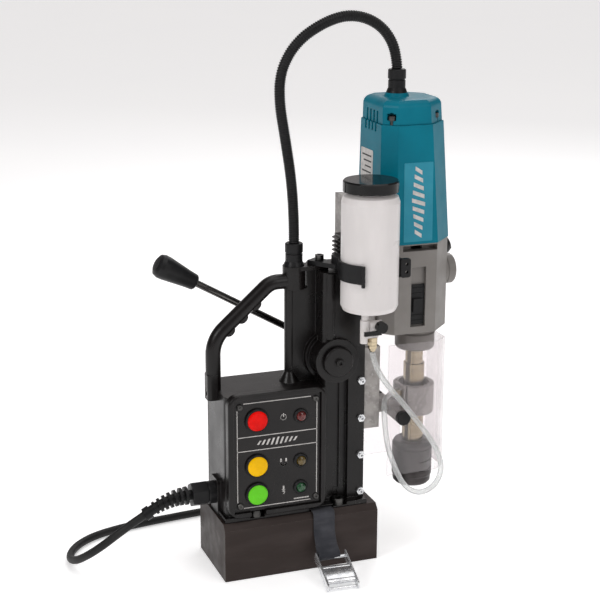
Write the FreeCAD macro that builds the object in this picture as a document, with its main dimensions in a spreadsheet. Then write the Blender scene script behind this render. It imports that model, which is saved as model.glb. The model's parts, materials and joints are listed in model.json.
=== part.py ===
import FreeCAD, Part
import math
import os
import Sketcher
from FreeCAD import Placement, Rotation, Vector

# Magnetic drill press.
# Frame: origin at the centre of the magnet's bottom face, +X from the cable end towards the drill,
# +Y to the far side where the feed levers are, +Z up. Millimetres.

# ---------------------------------------------------------------- driving dimensions
DIMENSIONS = {
    # magnet base
    "base_length": 180, "base_width": 95, "base_height": 66, "base_chamfer": 6.3,
    "pole_groove_depth": 48, "pole_groove_width": 21,
    # housing: control box
    "box_left": -84, "box_right": 30, "box_half_width": 36, "box_top": 208, "box_wall": 5,
    "panel_left": -78, "panel_right": 22.5, "panel_bottom": 77, "panel_top": 207,
    "panel_face": -41.5, "lip_face": -45, "lip_width": 6, "panel_thickness": 2,
    # housing: column and its ways
    "column_back": 30, "column_front": 79.5, "column_half_width": 29, "column_top": 335,
    "web_half_thickness": 5, "rib_radius": 5.5, "rib_place": 1,
    "mouth_half_width": 17, "tail_half_width": 23, "tail_back": 63,
    "slide_gap": 0.05, "gib_thickness": 3,
    # feed
    "pinion_x": 45, "pinion_height": 236, "boss_radius": 25, "boss_reach": 34,
    "gear_module": 1.5, "bush_outer": 12, "shaft_radius": 9, "spoke_plane": 64,
    "spoke_radius": 4, "lever_reach": 203, "knob_length": 51,
    # slide and drill unit
    "slide_bottom": 151, "slide_top": 412, "slide_front": 92, "slide_step": 248,
    "motor_x": 136, "motor_half_x": 43, "motor_front": 44.5, "motor_half_y": 45.5,
    "rear_chamfer": 14, "front_chamfer": 24, "rear_taper": 2, "front_taper": 10, "side_taper": 4,
    "motor_bottom": 363, "motor_joint": 492, "motor_top": 518, "motor_wall": 3.5, "cap_step": 1.6,
    "gear_bottom": 262, "gear_top": 353, "spindle_x": 152.6, "spindle_radius": 12,
    "neck_radius": 22.5, "neck_bottom": 232, "ring_radius": 23.3, "ring_bottom": 155,
    "ring_top": 190, "collar_radius": 23, "collar_bottom": 69, "collar_top": 120,
    "arbor_radius": 9.525,
    # guard
    "guard_back": 106, "guard_front": 180, "guard_half_width": 33, "guard_sheet": 2,
    "guard_bottom": 93, "guard_height": 154, "guard_slot_x": 123, "knob_height": 162,
    # coolant
    "bottle_x": 70, "bottle_y": -60.5, "bottle_radius": 31, "bottle_bottom": 299,
    "bottle_shoulder": 428, "cap_radius": 29.8, "cap_top": 441, "tap_x": 65.5,
    # cables
    "conduit_diameter": 12, "cord_diameter": 9, "hose_diameter": 6,
    "gland_y": -2, "gland_height": 89,
    # strap
    "strap_width": 25, "strap_thickness": 1.6, "strap_x": 25,
}

doc = FreeCAD.newDocument("magnetic_drill_press")
sheet = doc.addObject("Spreadsheet::Sheet", "dims")
for row, (alias, number) in enumerate(DIMENSIONS.items(), start=1):
    sheet.set(f"A{row}", alias)
    sheet.set(f"B{row}", str(number))
    sheet.setAlias(f"B{row}", alias)
doc.recompute()


class Size(float):
    """A number that keeps the spreadsheet formula it comes from, through sums and products."""

    def __new__(cls, number, formula):
        size = super().__new__(cls, number)
        size.formula = formula
        return size

    def __add__(self, other):
        return Size(float(self) + float(other), f"({self.formula} + {formula_of(other)})")

    def __radd__(self, other):
        return Size(float(other) + float(self), f"({formula_of(other)} + {self.formula})")

    def __sub__(self, other):
        return Size(float(self) - float(other), f"({self.formula} - {formula_of(other)})")

    def __rsub__(self, other):
        return Size(float(other) - float(self), f"({formula_of(other)} - {self.formula})")

    def __mul__(self, other):
        return Size(float(self) * float(other), f"({self.formula} * {formula_of(other)})")

    __rmul__ = __mul__

    def __truediv__(self, other):
        return Size(float(self) / float(other), f"({self.formula} / {formula_of(other)})")

    def __neg__(self):
        return Size(-float(self), f"(0 - {self.formula})")


def formula_of(number):
    """The formula of a Size, or a plain number written out."""
    return number.formula if isinstance(number, Size) else f"({float(number):.9g})"


class Dimensions:
    """The spreadsheet's cells, read as attributes."""

    def __getattr__(self, alias):
        return Size(sheet.get(alias), f"dims.{alias}")


d = Dimensions()


def bind(thing, path, size):
    """Ties one property of an object to the formula of its size."""
    if isinstance(size, Size):
        thing.setExpression(path, size.formula)


# ---------------------------------------------------------------- building blocks
AXES = {
    "X": Rotation(Vector(0, 0, 1), Vector(1, 0, 0)),
    "-X": Rotation(Vector(0, 0, 1), Vector(-1, 0, 0)),
    "Y": Rotation(Vector(0, 0, 1), Vector(0, 1, 0)),
    "-Y": Rotation(Vector(0, 0, 1), Vector(0, -1, 0)),
    "Z": Rotation(),
    "-Z": Rotation(Vector(1, 0, 0), 180),
}


def place(thing, at, turn="Z"):
    """Puts an object at a point, its own Z along the named axis or turned by a Rotation."""
    rotation = AXES[turn] if isinstance(turn, str) else turn
    thing.Placement = Placement(Vector(*[float(value) for value in at]), rotation)
    for letter, value in zip("xyz", at):
        bind(thing, f"Placement.Base.{letter}", value)
    return thing


def primitive(kind, label, at, turn="Z", **sizes):
    thing = doc.addObject(f"Part::{kind}", label)
    for name, size in sizes.items():
        setattr(thing, name, float(size))
        bind(thing, name, size)
    return place(thing, at, turn)


def box(label, low, high):
    """A box from its lowest corner to its highest."""
    spans = [top - bottom for bottom, top in zip(low, high)]
    return primitive("Box", label, low, Length=spans[0], Width=spans[1], Height=spans[2])


def rod(label, radius, length, at, turn="Z"):
    """A cylinder that starts at a point and runs along the named axis."""
    return primitive("Cylinder", label, at, turn, Radius=radius, Height=length)


def taper(label, start_radius, end_radius, length, at, turn="Z"):
    return primitive("Cone", label, at, turn, Radius1=start_radius, Radius2=end_radius, Height=length)


def fuse(label, *shapes):
    thing = doc.addObject("Part::MultiFuse", label)
    thing.Shapes = list(shapes)
    return thing


def group(label, *solids):
    """Separate solids kept side by side in one sub-part."""
    thing = doc.addObject("Part::Compound", label)
    thing.Links = list(solids)
    return thing


def cut(label, stock, *tools):
    thing = doc.addObject("Part::Cut", label)
    thing.Base = stock
    thing.Tool = tools[0] if len(tools) == 1 else fuse(f"{label}_tools", *tools)
    return thing


def common(label, *shapes):
    thing = doc.addObject("Part::MultiCommon", label)
    thing.Shapes = list(shapes)
    return thing


def fillet(label, stock, radius, wanted):
    """Rounds the edges of a shape for which wanted(edge) is true."""
    doc.recompute()
    edges = [i for i, edge in enumerate(stock.Shape.Edges, start=1) if wanted(edge)]
    thing = doc.addObject("Part::Fillet", label)
    thing.Base = stock
    thing.Edges = [(i, float(radius), float(radius)) for i in edges]
    return thing


def upright(edge):
    """True for a straight edge along Z."""
    ends = [vertex.Point for vertex in edge.Vertexes]
    return len(ends) == 2 and abs(ends[0].x - ends[1].x) + abs(ends[0].y - ends[1].y) < 1e-4


def along_y(edge):
    """True for a straight edge along Y."""
    ends = [vertex.Point for vertex in edge.Vertexes]
    return len(ends) == 2 and abs(ends[0].x - ends[1].x) + abs(ends[0].z - ends[1].z) < 1e-4


def sketch_on(body, role, outline, offset=0.0, circles=()):
    """A sketch on one of the body's origin planes, with a closed outline of (x, y) points, whose
    distances from the origin are bound to their formulas, and full circles (x, y, radius)."""
    sketch = body.newObject("Sketcher::SketchObject", f"{body.Label}_sketch")
    plane = [feature for feature in body.Origin.OriginFeatures if feature.Role == role][0]
    sketch.AttachmentSupport = [(plane, "")]
    sketch.MapMode = "FlatFace"
    sketch.AttachmentOffset = Placement(Vector(0, 0, float(offset)), Rotation())
    bind(sketch, "AttachmentOffset.Base.z", offset)
    return draw(sketch, outline, circles)


def draw(sketch, outline, circles=()):
    """Draws a closed outline and full circles in a sketch and dimensions them from its origin."""
    count = len(outline)
    for i in range(count):
        start, end = outline[i], outline[(i + 1) % count]
        line = Part.LineSegment(Vector(float(start[0]), float(start[1])),
                                Vector(float(end[0]), float(end[1])))
        sketch.addGeometry(line)
    for i in range(count):
        sketch.addConstraint(Sketcher.Constraint("Coincident", i, 2, (i + 1) % count, 1))
    for i, point in enumerate(outline):
        pin_down(sketch, i, 1, point)
    for x, y, radius in circles:
        circle = Part.Circle(Vector(float(x), float(y), 0), Vector(0, 0, 1), float(radius))
        index = sketch.addGeometry(circle)
        pin_down(sketch, index, 3, (x, y))
        number = sketch.addConstraint(Sketcher.Constraint("Radius", index, float(radius)))
        bind(sketch, f"Constraints[{number}]", radius)
    return sketch


def pin_down(sketch, geometry, vertex, point):
    """Dimensions one point of a sketch from the sketch's origin."""
    for kind, value in zip(("DistanceX", "DistanceY"), point):
        number = sketch.addConstraint(Sketcher.Constraint(kind, -1, 1, geometry, vertex, float(value)))
        bind(sketch, f"Constraints[{number}]", value)


def new_body(label):
    return doc.addObject("PartDesign::Body", label)


def pad(body, sketch, length, both_ways=False):
    feature = body.newObject("PartDesign::Pad", f"{body.Label}_pad")
    feature.Profile = sketch
    feature.Length = float(length)
    bind(feature, "Length", length)
    feature.Midplane = both_ways
    return feature


def pocket(body, sketch, depth, reverse=False):
    """Cuts a sketch into the body, and checks that it took material away."""
    doc.recompute()
    before = body.Shape.Volume
    feature = body.newObject("PartDesign::Pocket", f"{body.Label}_pocket")
    feature.Profile = sketch
    feature.Length = float(depth)
    bind(feature, "Length", depth)
    feature.Reversed = reverse
    doc.recompute()
    if body.Shape.Volume >= before - 1e-3:
        raise ValueError(f"the pocket in {body.Label} cuts nothing")
    return feature


def turned(label, profile, at, turn="Z"):
    """A solid of revolution. The profile is a closed outline of (radius, height) points."""
    body = new_body(label)
    sketch = sketch_on(body, "XZ_Plane", profile)
    feature = body.newObject("PartDesign::Revolution", f"{label}_turn")
    feature.Profile = sketch
    feature.ReferenceAxis = (sketch, ["V_Axis"])
    return place(body, at, turn)


def plate(label, outline, thickness, at, turn="Z", circles=(), holes=()):
    """A flat outline padded along its own Z, with round holes through it."""
    body = new_body(label)
    pad(body, sketch_on(body, "XY_Plane", outline, circles=circles), thickness)
    if holes:
        pocket(body, sketch_on(body, "XY_Plane", [], circles=holes), thickness, reverse=True)
    return place(body, at, turn)


def rectangle(x_low, y_low, x_high, y_high):
    return [(x_low, y_low), (x_high, y_low), (x_high, y_high), (x_low, y_high)]


def tapered_bar(label, low_outline, high_outline, low, high):
    """A straight-sided solid between two outlines with as many corners, at two heights over one point."""
    sections = []
    for end, outline, at in (("low", low_outline, low), ("high", high_outline, high)):
        sketch = doc.addObject("Sketcher::SketchObject", f"{label}_{end}")
        sections.append(place(draw(sketch, outline), at))
    loft = doc.addObject("Part::Loft", label)
    loft.Sections = sections
    loft.Solid = True
    loft.Ruled = True
    return loft


def tube_profile(outer, inner, low, high):
    """The outline of a ring's section, for turned()."""
    return [(inner, low), (outer, low), (outer, high), (inner, high)]


def socket_screw(label, shank_radius, shank_length, at, turn="Z"):
    """A socket-head screw whose head stands on the point and whose shank runs back from it."""
    head, socket = shank_radius * 1.6, shank_radius * 0.85
    height = shank_radius * 1.9
    profile = [
        (0, -shank_length), (shank_radius, -shank_length), (shank_radius, 0), (head, 0),
        (head, height), (socket, height), (socket, height * 0.45), (0, height * 0.45),
    ]
    return turned(label, profile, at, turn)


def rounded_path(points, share=0.45):
    """Straight runs joined by tangent arcs, each as large as its two runs allow. Returns the wire
    and the arcs' radii."""
    points = [Vector(*point) for point in points]
    edges, radii, start = [], [], points[0]
    for before, corner, after in zip(points, points[1:], points[2:]):
        into, out = (before - corner), (after - corner)
        shorter = min(into.Length, out.Length)
        half_turn = (math.pi - into.getAngle(out)) / 2
        radii.append(share * shorter / math.tan(half_turn))
        into.normalize()
        out.normalize()
        first, last = corner + into * share * shorter, corner + out * share * shorter
        inward = (into + out).normalize()
        reach = radii[-1] / math.cos(half_turn) - radii[-1]
        edges.append(Part.LineSegment(start, first).toShape())
        edges.append(Part.Arc(first, corner + inward * reach, last).toShape())
        start = last
    edges.append(Part.LineSegment(start, points[-1]).toShape())
    return Part.Wire(edges), radii


def tube(label, points, diameter):
    """A round cord, hose or bar along a rounded path."""
    wire, radii = rounded_path(points)
    section = Part.Wire(Part.Circle(wire.Edges[0].firstVertex().Point,
                                    wire.Edges[0].tangentAt(0), float(diameter) / 2).toShape())
    thing = doc.addObject("Part::Feature", label)
    thing.Shape = wire.makePipeShell([section], True, False)
    thing.Placement = Placement()
    expected = math.pi * float(diameter) ** 2 / 4 * wire.Length
    if abs(thing.Shape.Volume / expected - 1) > 0.02:
        raise ValueError(f"{label} has the wrong volume")
    print(f"{label}: {wire.Length:.0f} mm long, arc radii {[round(radius) for radius in radii]}")
    return thing


# ---------------------------------------------------------------- magnet base
base_half_length = d.base_length / 2
base_half_width = d.base_width / 2
bolt_places = [(x, y) for x in (-50, 47) for y in (-34, 34)]


def magnet_base():
    """The steel magnet body, with a pole groove under it for the coil."""
    low = base_half_width - d.base_chamfer
    outline = [
        (-base_half_width, 0), (base_half_width, 0), (base_half_width, d.base_height - d.base_chamfer),
        (low, d.base_height), (-low, d.base_height), (-base_half_width, d.base_height - d.base_chamfer),
    ]
    body = new_body("magnet_block")
    pad(body, sketch_on(body, "YZ_Plane", outline), d.base_length, both_ways=True)
    groove = cut(
        "pole_groove",
        box("groove_outside", (-78, -35, 0), (78, 35, d.pole_groove_depth)),
        box("centre_pole", (d.pole_groove_width - 78, d.pole_groove_width - 35, 0),
            (78 - d.pole_groove_width, 35 - d.pole_groove_width, d.pole_groove_depth)),
    )
    holes = [rod("base_hole", 4.05, 14, (x, y, d.base_height - 14)) for x, y in bolt_places]
    return cut("magnet_base", body, groove, *holes)


def pole_ring(label, low, high):
    """A rectangular ring that fills part of the pole groove's height."""
    gap = 0.1
    inner_x, inner_y = 78 - d.pole_groove_width + gap, 35 - d.pole_groove_width + gap
    return cut(label, box(f"{label}_outside", (gap - 78, gap - 35, low), (78 - gap, 35 - gap, high)),
               box(f"{label}_inside", (-inner_x, -inner_y, low - 1), (inner_x, inner_y, high + 1)))


magnet_base()
pole_ring("magnet_coil", 6.1, d.pole_groove_depth - 0.5)
pole_ring("coil_potting", 0.3, 6)
group("base_bolts", *[socket_screw("base_bolt", 4, 14, (x, y, d.base_height + 2)) for x, y in bolt_places])

# ---------------------------------------------------------------- housing
gib_screw_heights = [78 + 43.7 * step for step in range(4)]
gib_screw_x = 75.3
button_x, lamp_x = -51, -0.5
button_heights = [182, 129.7, 96.6]
lamp_heights = [181.3, 129.4, 98.1]
panel_screw_places = [(16.8, 199), (-70.3, 199), (-70.3, 84.5), (17.5, 84.5)]
cover_screw_places = [(-77, 80.3), (25, 80.3), (25, 204), (-77, 204)]
top_screw_place = (34, -5)
foot_screw_height = 204


def control_box():
    """The hollow box that carries the panel, with a raised lip round the panel's recess."""
    left, right, half = d.box_left, d.box_right, d.box_half_width
    shell = fillet("box_block", box("box_stock", (left, -half, d.base_height), (right, half, d.box_top)), 9,
                   lambda edge: upright(edge) and edge.Vertexes[0].Point.x < 0)
    lip_bar = fillet(
        "lip_block",
        box("lip_stock", (d.panel_left - d.lip_width, d.lip_face, d.panel_bottom - d.lip_width),
            (d.panel_right + d.lip_width, -half + 1, d.panel_top + d.lip_width)),
        13, along_y,
    )
    lip = fillet("lip_round", lip_bar, 2.4, lambda edge: edge.BoundBox.YMax < float(d.lip_face) + 0.01)
    foot = box("box_foot", (left - 3, -half - 4, d.base_height),
               (d.column_front, half + 4, d.base_height + 5))
    gland_pad = fillet("gland_pad", box("gland_pad_stock", (left - 4, d.gland_y - 13, d.base_height),
                                        (left + 1, d.gland_y + 13, 107)), 6,
                       lambda edge: not upright(edge) and not along_y(edge)
                       and edge.Vertexes[0].Point.z > 100)
    return fuse("control_box", shell, lip, foot, gland_pad)


def column():
    """The ways block, the web and rib behind it, and the boss of the feed shaft."""
    half = d.column_half_width
    ways = fillet("ways_block", box("ways_stock", (d.column_back, -half, d.base_height),
                                    (d.column_front, half, d.column_top)), 4,
                  lambda edge: upright(edge) and edge.Vertexes[0].Point.x < 40)
    web = box("web", (d.rib_place, -d.web_half_thickness, 200),
              (d.column_back + 2, d.web_half_thickness, 314))
    web_head = box("web_head", (20, -d.web_half_thickness, 314), (d.column_back + 2, d.web_half_thickness,
                                                                  d.column_top))
    rib = rod("rib", d.rib_radius, 114.5, (d.rib_place, 0, 199.5))
    rib_foot = taper("rib_foot", d.rib_radius + 6, d.rib_radius, 12, (d.rib_place, 0, d.box_top - 0.5))
    boss = rod("boss", d.boss_radius, d.boss_reach * 2, (d.pinion_x, -d.boss_reach, d.pinion_height), "Y")
    boss_root = rod("boss_root", d.boss_radius + 4, 24, (d.pinion_x, -12, d.pinion_height), "Y")
    fluting = [rod("flute", 5, 74, (39, side * (half - 2), d.column_top - 75)) for side in (-1, 1)]
    return fuse("column", ways, web, web_head, rib, rib_foot, boss, boss_root, *fluting)


def dovetail(label, gap, low, high, near_side_gap=None):
    """The dovetail's section, inset by a gap at its back and on its flanks, between two heights."""
    near = gap if near_side_gap is None else near_side_gap
    outline = [
        (d.tail_back + gap, -(d.tail_half_width - near)),
        (d.column_front + 0.6, -(d.mouth_half_width - near)),
        (d.column_front + 0.6, d.mouth_half_width - gap), (d.tail_back + gap, d.tail_half_width - gap),
    ]
    return plate(label, outline, high - low, (0, 0, low))


def near_flank(x, inset):
    """The Y of the dovetail's near flank at an x, moved in by an inset."""
    slope = (d.tail_half_width - d.mouth_half_width) / (float(d.column_front) + 0.6 - float(d.tail_back))
    return inset - d.tail_half_width + slope * (x - float(d.tail_back))


def main_housing():
    """The machine's casting."""
    wall, half = d.box_wall, d.box_half_width
    tools = [
        box("panel_recess", (d.panel_left, d.lip_face - 1, d.panel_bottom),
            (d.panel_right, d.panel_face + d.panel_thickness, d.panel_top)),
        box("box_cavity", (d.box_left + wall, -35.5, 84), (d.box_right - wall, half + 1, d.box_top - 7)),
        dovetail("ways_cut", 0, d.base_height + 5, d.column_top + 1),
        box("rack_channel", (47, -9.5, d.base_height + 5), (d.tail_back + 0.5, 9.5, d.column_top + 1)),
        rod("shaft_bore", d.bush_outer + 0.05, d.boss_reach * 2 + 2,
            (d.pinion_x, -d.boss_reach - 1, d.pinion_height), "Y"),
        box("strap_slot", (d.strap_x - 14, -50, d.base_height - 1), (d.strap_x + 14, 50, d.base_height + 4)),
        rod("gland_hole", 8.1, 20, (d.box_left - 6, d.gland_y, d.gland_height), "X"),
        rod("top_screw_hole", 3.05, 16, (*top_screw_place, d.column_top - 15)),
        rod("foot_screw_hole", 3.05, 16, (d.box_left - 2, 0, foot_screw_height), "X"),
    ]
    for side in (-1, 1):
        for low, high, depth, bottom in ((50.5, 60, 6, 70), (34, 49.3, 2.5, 75)):
            inner, outer = side * (29 - depth), side * 31
            tools.append(box("face_groove", (low, min(inner, outer), bottom), (high, max(inner, outer), 222)))
    for x, y in bolt_places:
        tools.append(rod("bolt_hole", 4.5, 12, (x, y, d.base_height - 1)))
        tools.append(rod("bolt_pocket", 8.5, 17, (x, y, d.base_height + 2)))
        side = 1 if y > 0 else -1
        tools.append(box("bolt_notch", (x - 8.5, min(y, side * 50), d.base_height + 2),
                         (x + 8.5, max(y, side * 50), d.base_height + 14)))
    for height in button_heights:
        tools.append(rod("button_hole", 5.08, 10, (button_x, -41, height), "Y"))
    for height in lamp_heights:
        tools.append(rod("lamp_hole", 5.1, 10, (lamp_x, -41, height), "Y"))
    for x, z in panel_screw_places:
        tools.append(rod("panel_screw_hole", 2.05, 8, (x, -41, z), "Y"))
    for x, z in cover_screw_places:
        tools.append(rod("cover_screw_hole", 2.05, 9, (x, 28, z), "Y"))
    for height in gib_screw_heights:
        tools.append(rod("gib_hole", 2.55, 14, (gib_screw_x, -30, height), "Y"))
    return cut("main_housing", fuse("casting", control_box(), column()), *tools)


main_housing()


def upright_plate(label, outline, thickness, front, holes=()):
    """A plate across Y, from an outline of (x, z) points, with its near face at a given Y."""
    body = new_body(label)
    pad(body, sketch_on(body, "XZ_Plane", outline), thickness)
    if holes:
        pocket(body, sketch_on(body, "XZ_Plane", [], circles=holes), thickness, reverse=True)
    return place(body, (0, front + thickness, 0))


def panel_screw(label, at, turn):
    """A small pan-head screw with a crosswise driver recess turned as a round dimple."""
    profile = [(0, -7.5), (2, -7.5), (2, 0), (3.6, 0), (3.6, 1.2), (2.8, 2.2), (1.1, 2.2), (0, 1.2)]
    return turned(label, profile, at, turn)


def control_panel():
    holes = [(button_x, z, 11.6) for z in button_heights] + [(lamp_x, z, 6.1) for z in lamp_heights]
    holes += [(x, z, 2.2) for x, z in panel_screw_places]
    gap = 0.25
    outline = rectangle(d.panel_left + gap, d.panel_bottom + gap, d.panel_right - gap, d.panel_top - gap)
    upright_plate("control_panel", outline, d.panel_thickness, d.panel_face, holes)
    rear = d.box_half_width
    upright_plate("rear_cover", rectangle(-82, 76.6, 29, 207.6), 2.5, rear,
                  [(x, z, 2.2) for x, z in cover_screw_places])
    front_screws = [panel_screw("panel_screw", (x, d.panel_face, z), "-Y") for x, z in panel_screw_places]
    rear_screws = [panel_screw("cover_screw", (x, rear + 2.5, z), "Y") for x, z in cover_screw_places]
    group("panel_screws", *front_screws, *rear_screws)


def button(label, height):
    """A push button: a domed cap on a stem that reaches the switch behind the panel."""
    profile = [(0, -14), (5, -14), (5, 1.3), (11.2, 1.3), (11.2, 3.6), (9.6, 4.7), (5, 5.2), (0, 5.3)]
    turned(label, profile, (button_x, d.panel_face, height), "-Y")


def lamp(label, height):
    profile = [(0, -11), (5, -11), (5, 0.4), (5.5, 0.4), (5.5, 2), (4.6, 3.9), (2.6, 5), (0, 5.4)]
    return turned(label, profile, (lamp_x, d.panel_face, height), "-Y")


def bezels():
    rings = []
    for height in button_heights:
        outline = [(11.5, 0), (13.4, 0), (13.4, 2.6), (12.6, 3.4), (11.5, 3.4)]
        rings.append(turned("button_bezel", outline, (button_x, d.panel_face, height), "-Y"))
    for height in lamp_heights:
        outline = [(5.8, 0), (8.2, 0), (8.2, 1.6), (7.2, 2.6), (5.8, 2.6)]
        rings.append(turned("lamp_bezel", outline, (lamp_x, d.panel_face, height), "-Y"))
    group("panel_bezels", *rings)


def control_board():
    """The circuit board in the box, with a switch behind each button and the magnet's rectifier."""
    board = box("board", (-74, -16, 86), (20, -14.4, 196))
    switches = [box("switch", (button_x - 8, -35.4, z - 8), (button_x + 8, -15, z + 8))
                for z in button_heights]
    stem_ways = [rod("stem_way", 5.4, 12.5, (button_x, -36, z), "Y") for z in button_heights]
    lamp_blocks = [box("lamp_block", (lamp_x - 4, -30.3, z - 4), (lamp_x + 4, -15, z + 4))
                   for z in lamp_heights]
    rectifier = box("rectifier", (-30, -15, 100), (0, 14, 150))
    cut("control_board", fuse("board_blank", board, rectifier, *switches, *lamp_blocks), *stem_ways)


control_panel()
bezels()
for colour, height in zip(("red", "yellow", "green"), button_heights):
    button(f"{colour}_button", height)
group("indicator_lamps", *[lamp("lamp", height) for height in lamp_heights])
control_board()


def gib_set():
    """The gib strip beside the slide's near flank, and the set screws and nuts that adjust it."""
    back, front = float(d.tail_back) + 0.4, float(d.column_front) - 0.5
    outline = [
        (back, near_flank(back, 0.06)), (front, near_flank(front, 0.06)),
        (front, near_flank(front, d.gib_thickness)), (back, near_flank(back, d.gib_thickness)),
    ]
    plate("gib_strip", outline, d.column_top - d.base_height - 12, (0, 0, d.base_height + 8))
    solids = []
    for z in gib_screw_heights:
        tip = -d.mouth_half_width - 2.2
        shank = [(0, 0), (1.6, 0), (2.5, 1), (2.5, 15.2), (1.4, 15.2), (1.4, 13), (0, 13)]
        solids.append(turned("gib_screw", shank, (gib_screw_x, tip, z), "-Y"))
        stock = hexagon("nut_stock", 4, 3.2, (gib_screw_x, -d.column_half_width, z), "-Y")
        bore = rod("nut_bore", 2.52, 6, (gib_screw_x, -28, z), "-Y")
        solids.append(cut("gib_nut", stock, bore))
    group("gib_screws", *solids)


def hexagon(label, half_across, length, at, turn="Z"):
    """A six-sided bar, given half its width across the flats."""
    reach = half_across / math.cos(math.pi / 6)
    outline = [(reach * math.cos(math.pi / 3 * i), reach * math.sin(math.pi / 3 * i)) for i in range(6)]
    return plate(label, outline, length, at, turn)


gib_set()
group("shaft_bushes", *[
    turned("shaft_bush", tube_profile(d.bush_outer, d.shaft_radius + 0.05, 0, 22),
           (d.pinion_x, side * d.boss_reach, d.pinion_height), turn)
    for side, turn in ((-1, "Y"), (1, "-Y"))
])

# ---------------------------------------------------------------- carry handle
handle_boss = (6.4, 0)
handle_radius = 8.3
grip_radius, grip_rise = 7.4, 1.9


def carry_handle():
    """A round bar from the foot on the box, up and over to the boss on the column's rib."""
    start, top_corner = Vector(handle_boss[0], 0, 322.4), Vector(-20.8, 0, 322.4)
    low_corner, end = Vector(-86.6, 0, 264.2), Vector(-86.6, 0, float(d.box_top))
    wire, radii = rounded_path([start, top_corner, low_corner, end], 0.3)
    bar = doc.addObject("Part::Feature", "handle_bar")
    section = Part.Wire(Part.Circle(start, Vector(1, 0, 0), handle_radius).toShape())
    bar.Shape = wire.makePipeShell([section], True, False)
    boss = rod("handle_boss", 12.5, 25.5, (*handle_boss, 314))
    tab = box("handle_tab", (8, -12, d.column_top), (42, 7, d.column_top + 4.5))
    foot = fillet("foot_block", box("foot_stock", (-94.9, -handle_radius, 197.5),
                                    (d.box_left, handle_radius, 226)), 4,
                  lambda edge: upright(edge) and edge.Vertexes[0].Point.x < -90)
    along = (top_corner - low_corner).normalize()
    inward = Vector(along.z, 0, -along.x)
    grips = []
    for distance in (19.4, 39.2, 59.4):
        at = low_corner + along * distance + inward * (handle_radius - grip_radius + grip_rise)
        grips.append(rod("finger_grip", grip_radius, 11, (at.x, -5.5, at.z), "Y"))
    casting = fuse("handle_casting", bar, boss, tab, foot, *grips)
    cut("carry_handle", casting,
        rod("cable_bore", 5.5, 30, (*handle_boss, 312)),
        rod("tab_hole", 3.2, 8, (*top_screw_place, d.column_top - 1)),
        rod("foot_counterbore", 5.4, 8, (-97, 0, foot_screw_height), "X"),
        rod("foot_hole", 3.2, 16, (-98, 0, foot_screw_height), "X"))


carry_handle()
arm_top = d.column_top + 9.5
group("handle_screws",
      socket_screw("foot_screw", 3, 16, (-89, 0, foot_screw_height), "-X"),
      socket_screw("top_screw", 3, 16, (*top_screw_place, arm_top)))

# ---------------------------------------------------------------- cable glands and the conduit
conduit_x = 124


def conduit_gland(label, at):
    """A threaded gland: flared base, body and a ribbed nut round the conduit's end."""
    profile = [
        (5.6, 0), (11.5, 0), (10.6, 2.5), (9.4, 5), (9.4, 13), (8.6, 13.5), (8.6, 14.5), (9.8, 15),
        (9.8, 24), (9, 25), (5.6, 25),
    ]
    return turned(label, profile, at)


conduit_gland("conduit_gland_lower", (*handle_boss, 339.5))
conduit_gland("conduit_gland_upper", (conduit_x, 0, d.motor_top + 4))
tube("conduit", [
    (handle_boss[0], 0, 364.5), (6.4, 0, 388), (3.6, 0, 432), (-3.6, 0, 478), (-10.5, 0, 518), (-9, 0, 550),
    (7.5, 0, 578), (34, 0, 596), (62, 0, 605.5), (86, 0, 603), (106, 0, 592), (118.5, 0, 575),
    (conduit_x - 0.8, 0, 557), (conduit_x, 0, 547.6),
], d.conduit_diameter)

gland_start = (d.box_left - 4, d.gland_y, d.gland_height)


relief_core_radius = 5.6
relief_route = [(-115, -2, 89), (-131, -2, 88.4), (-149, -2, 83), (-168, -2, 72.5)]


def strain_relief():
    """The bend protection: rings of falling size along a curved core, and an end collar."""
    wire, radii = rounded_path(relief_route)
    core = doc.addObject("Part::Feature", "relief_core")
    heading = wire.Edges[0].tangentAt(0)
    section = Part.Wire(Part.Circle(Vector(*relief_route[0]), heading, relief_core_radius).toShape())
    core.Shape = wire.makePipeShell([section], True, False)
    points = wire.discretize(29)
    rings = []
    for turn_number in range(7):
        spot = 2 + 3 * turn_number
        heading = (points[spot + 1] - points[spot - 1]).normalize()
        ring = rod("relief_ring", 10.2 - 0.45 * turn_number, 3.2, points[spot],
                   Rotation(Vector(0, 0, 1), heading))
        rings.append(ring)
    heading = (points[-1] - points[-4]).normalize()
    collar = rod("relief_collar", 7.4, 7.5, points[-5], Rotation(Vector(0, 0, 1), heading))
    return [core, collar, *rings]


def power_gland():
    """The cord's gland in the box's end: a collar, a hexagon nut and the bend protection."""
    profile = [(4.7, 0), (12.6, 0), (12.6, 7.5), (11, 9.5), (4.7, 9.5)]
    collar = turned("gland_collar", profile, gland_start, "-X")
    nut_at = (gland_start[0] - 9.4, gland_start[1], gland_start[2])
    nut = cut("gland_nut", hexagon("gland_nut_stock", 12, 17.6, nut_at, "-X"),
              rod("gland_nut_bore", 4.7, 20, nut_at, "-X"))
    fuse("power_gland", collar, nut, *strain_relief())


power_gland()

# ---------------------------------------------------------------- power cord, wound up behind the machine
coil_centre = (84, 208)
coil_turn_radius = 5.5 * d.cord_diameter
floor_height = 4.6
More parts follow.
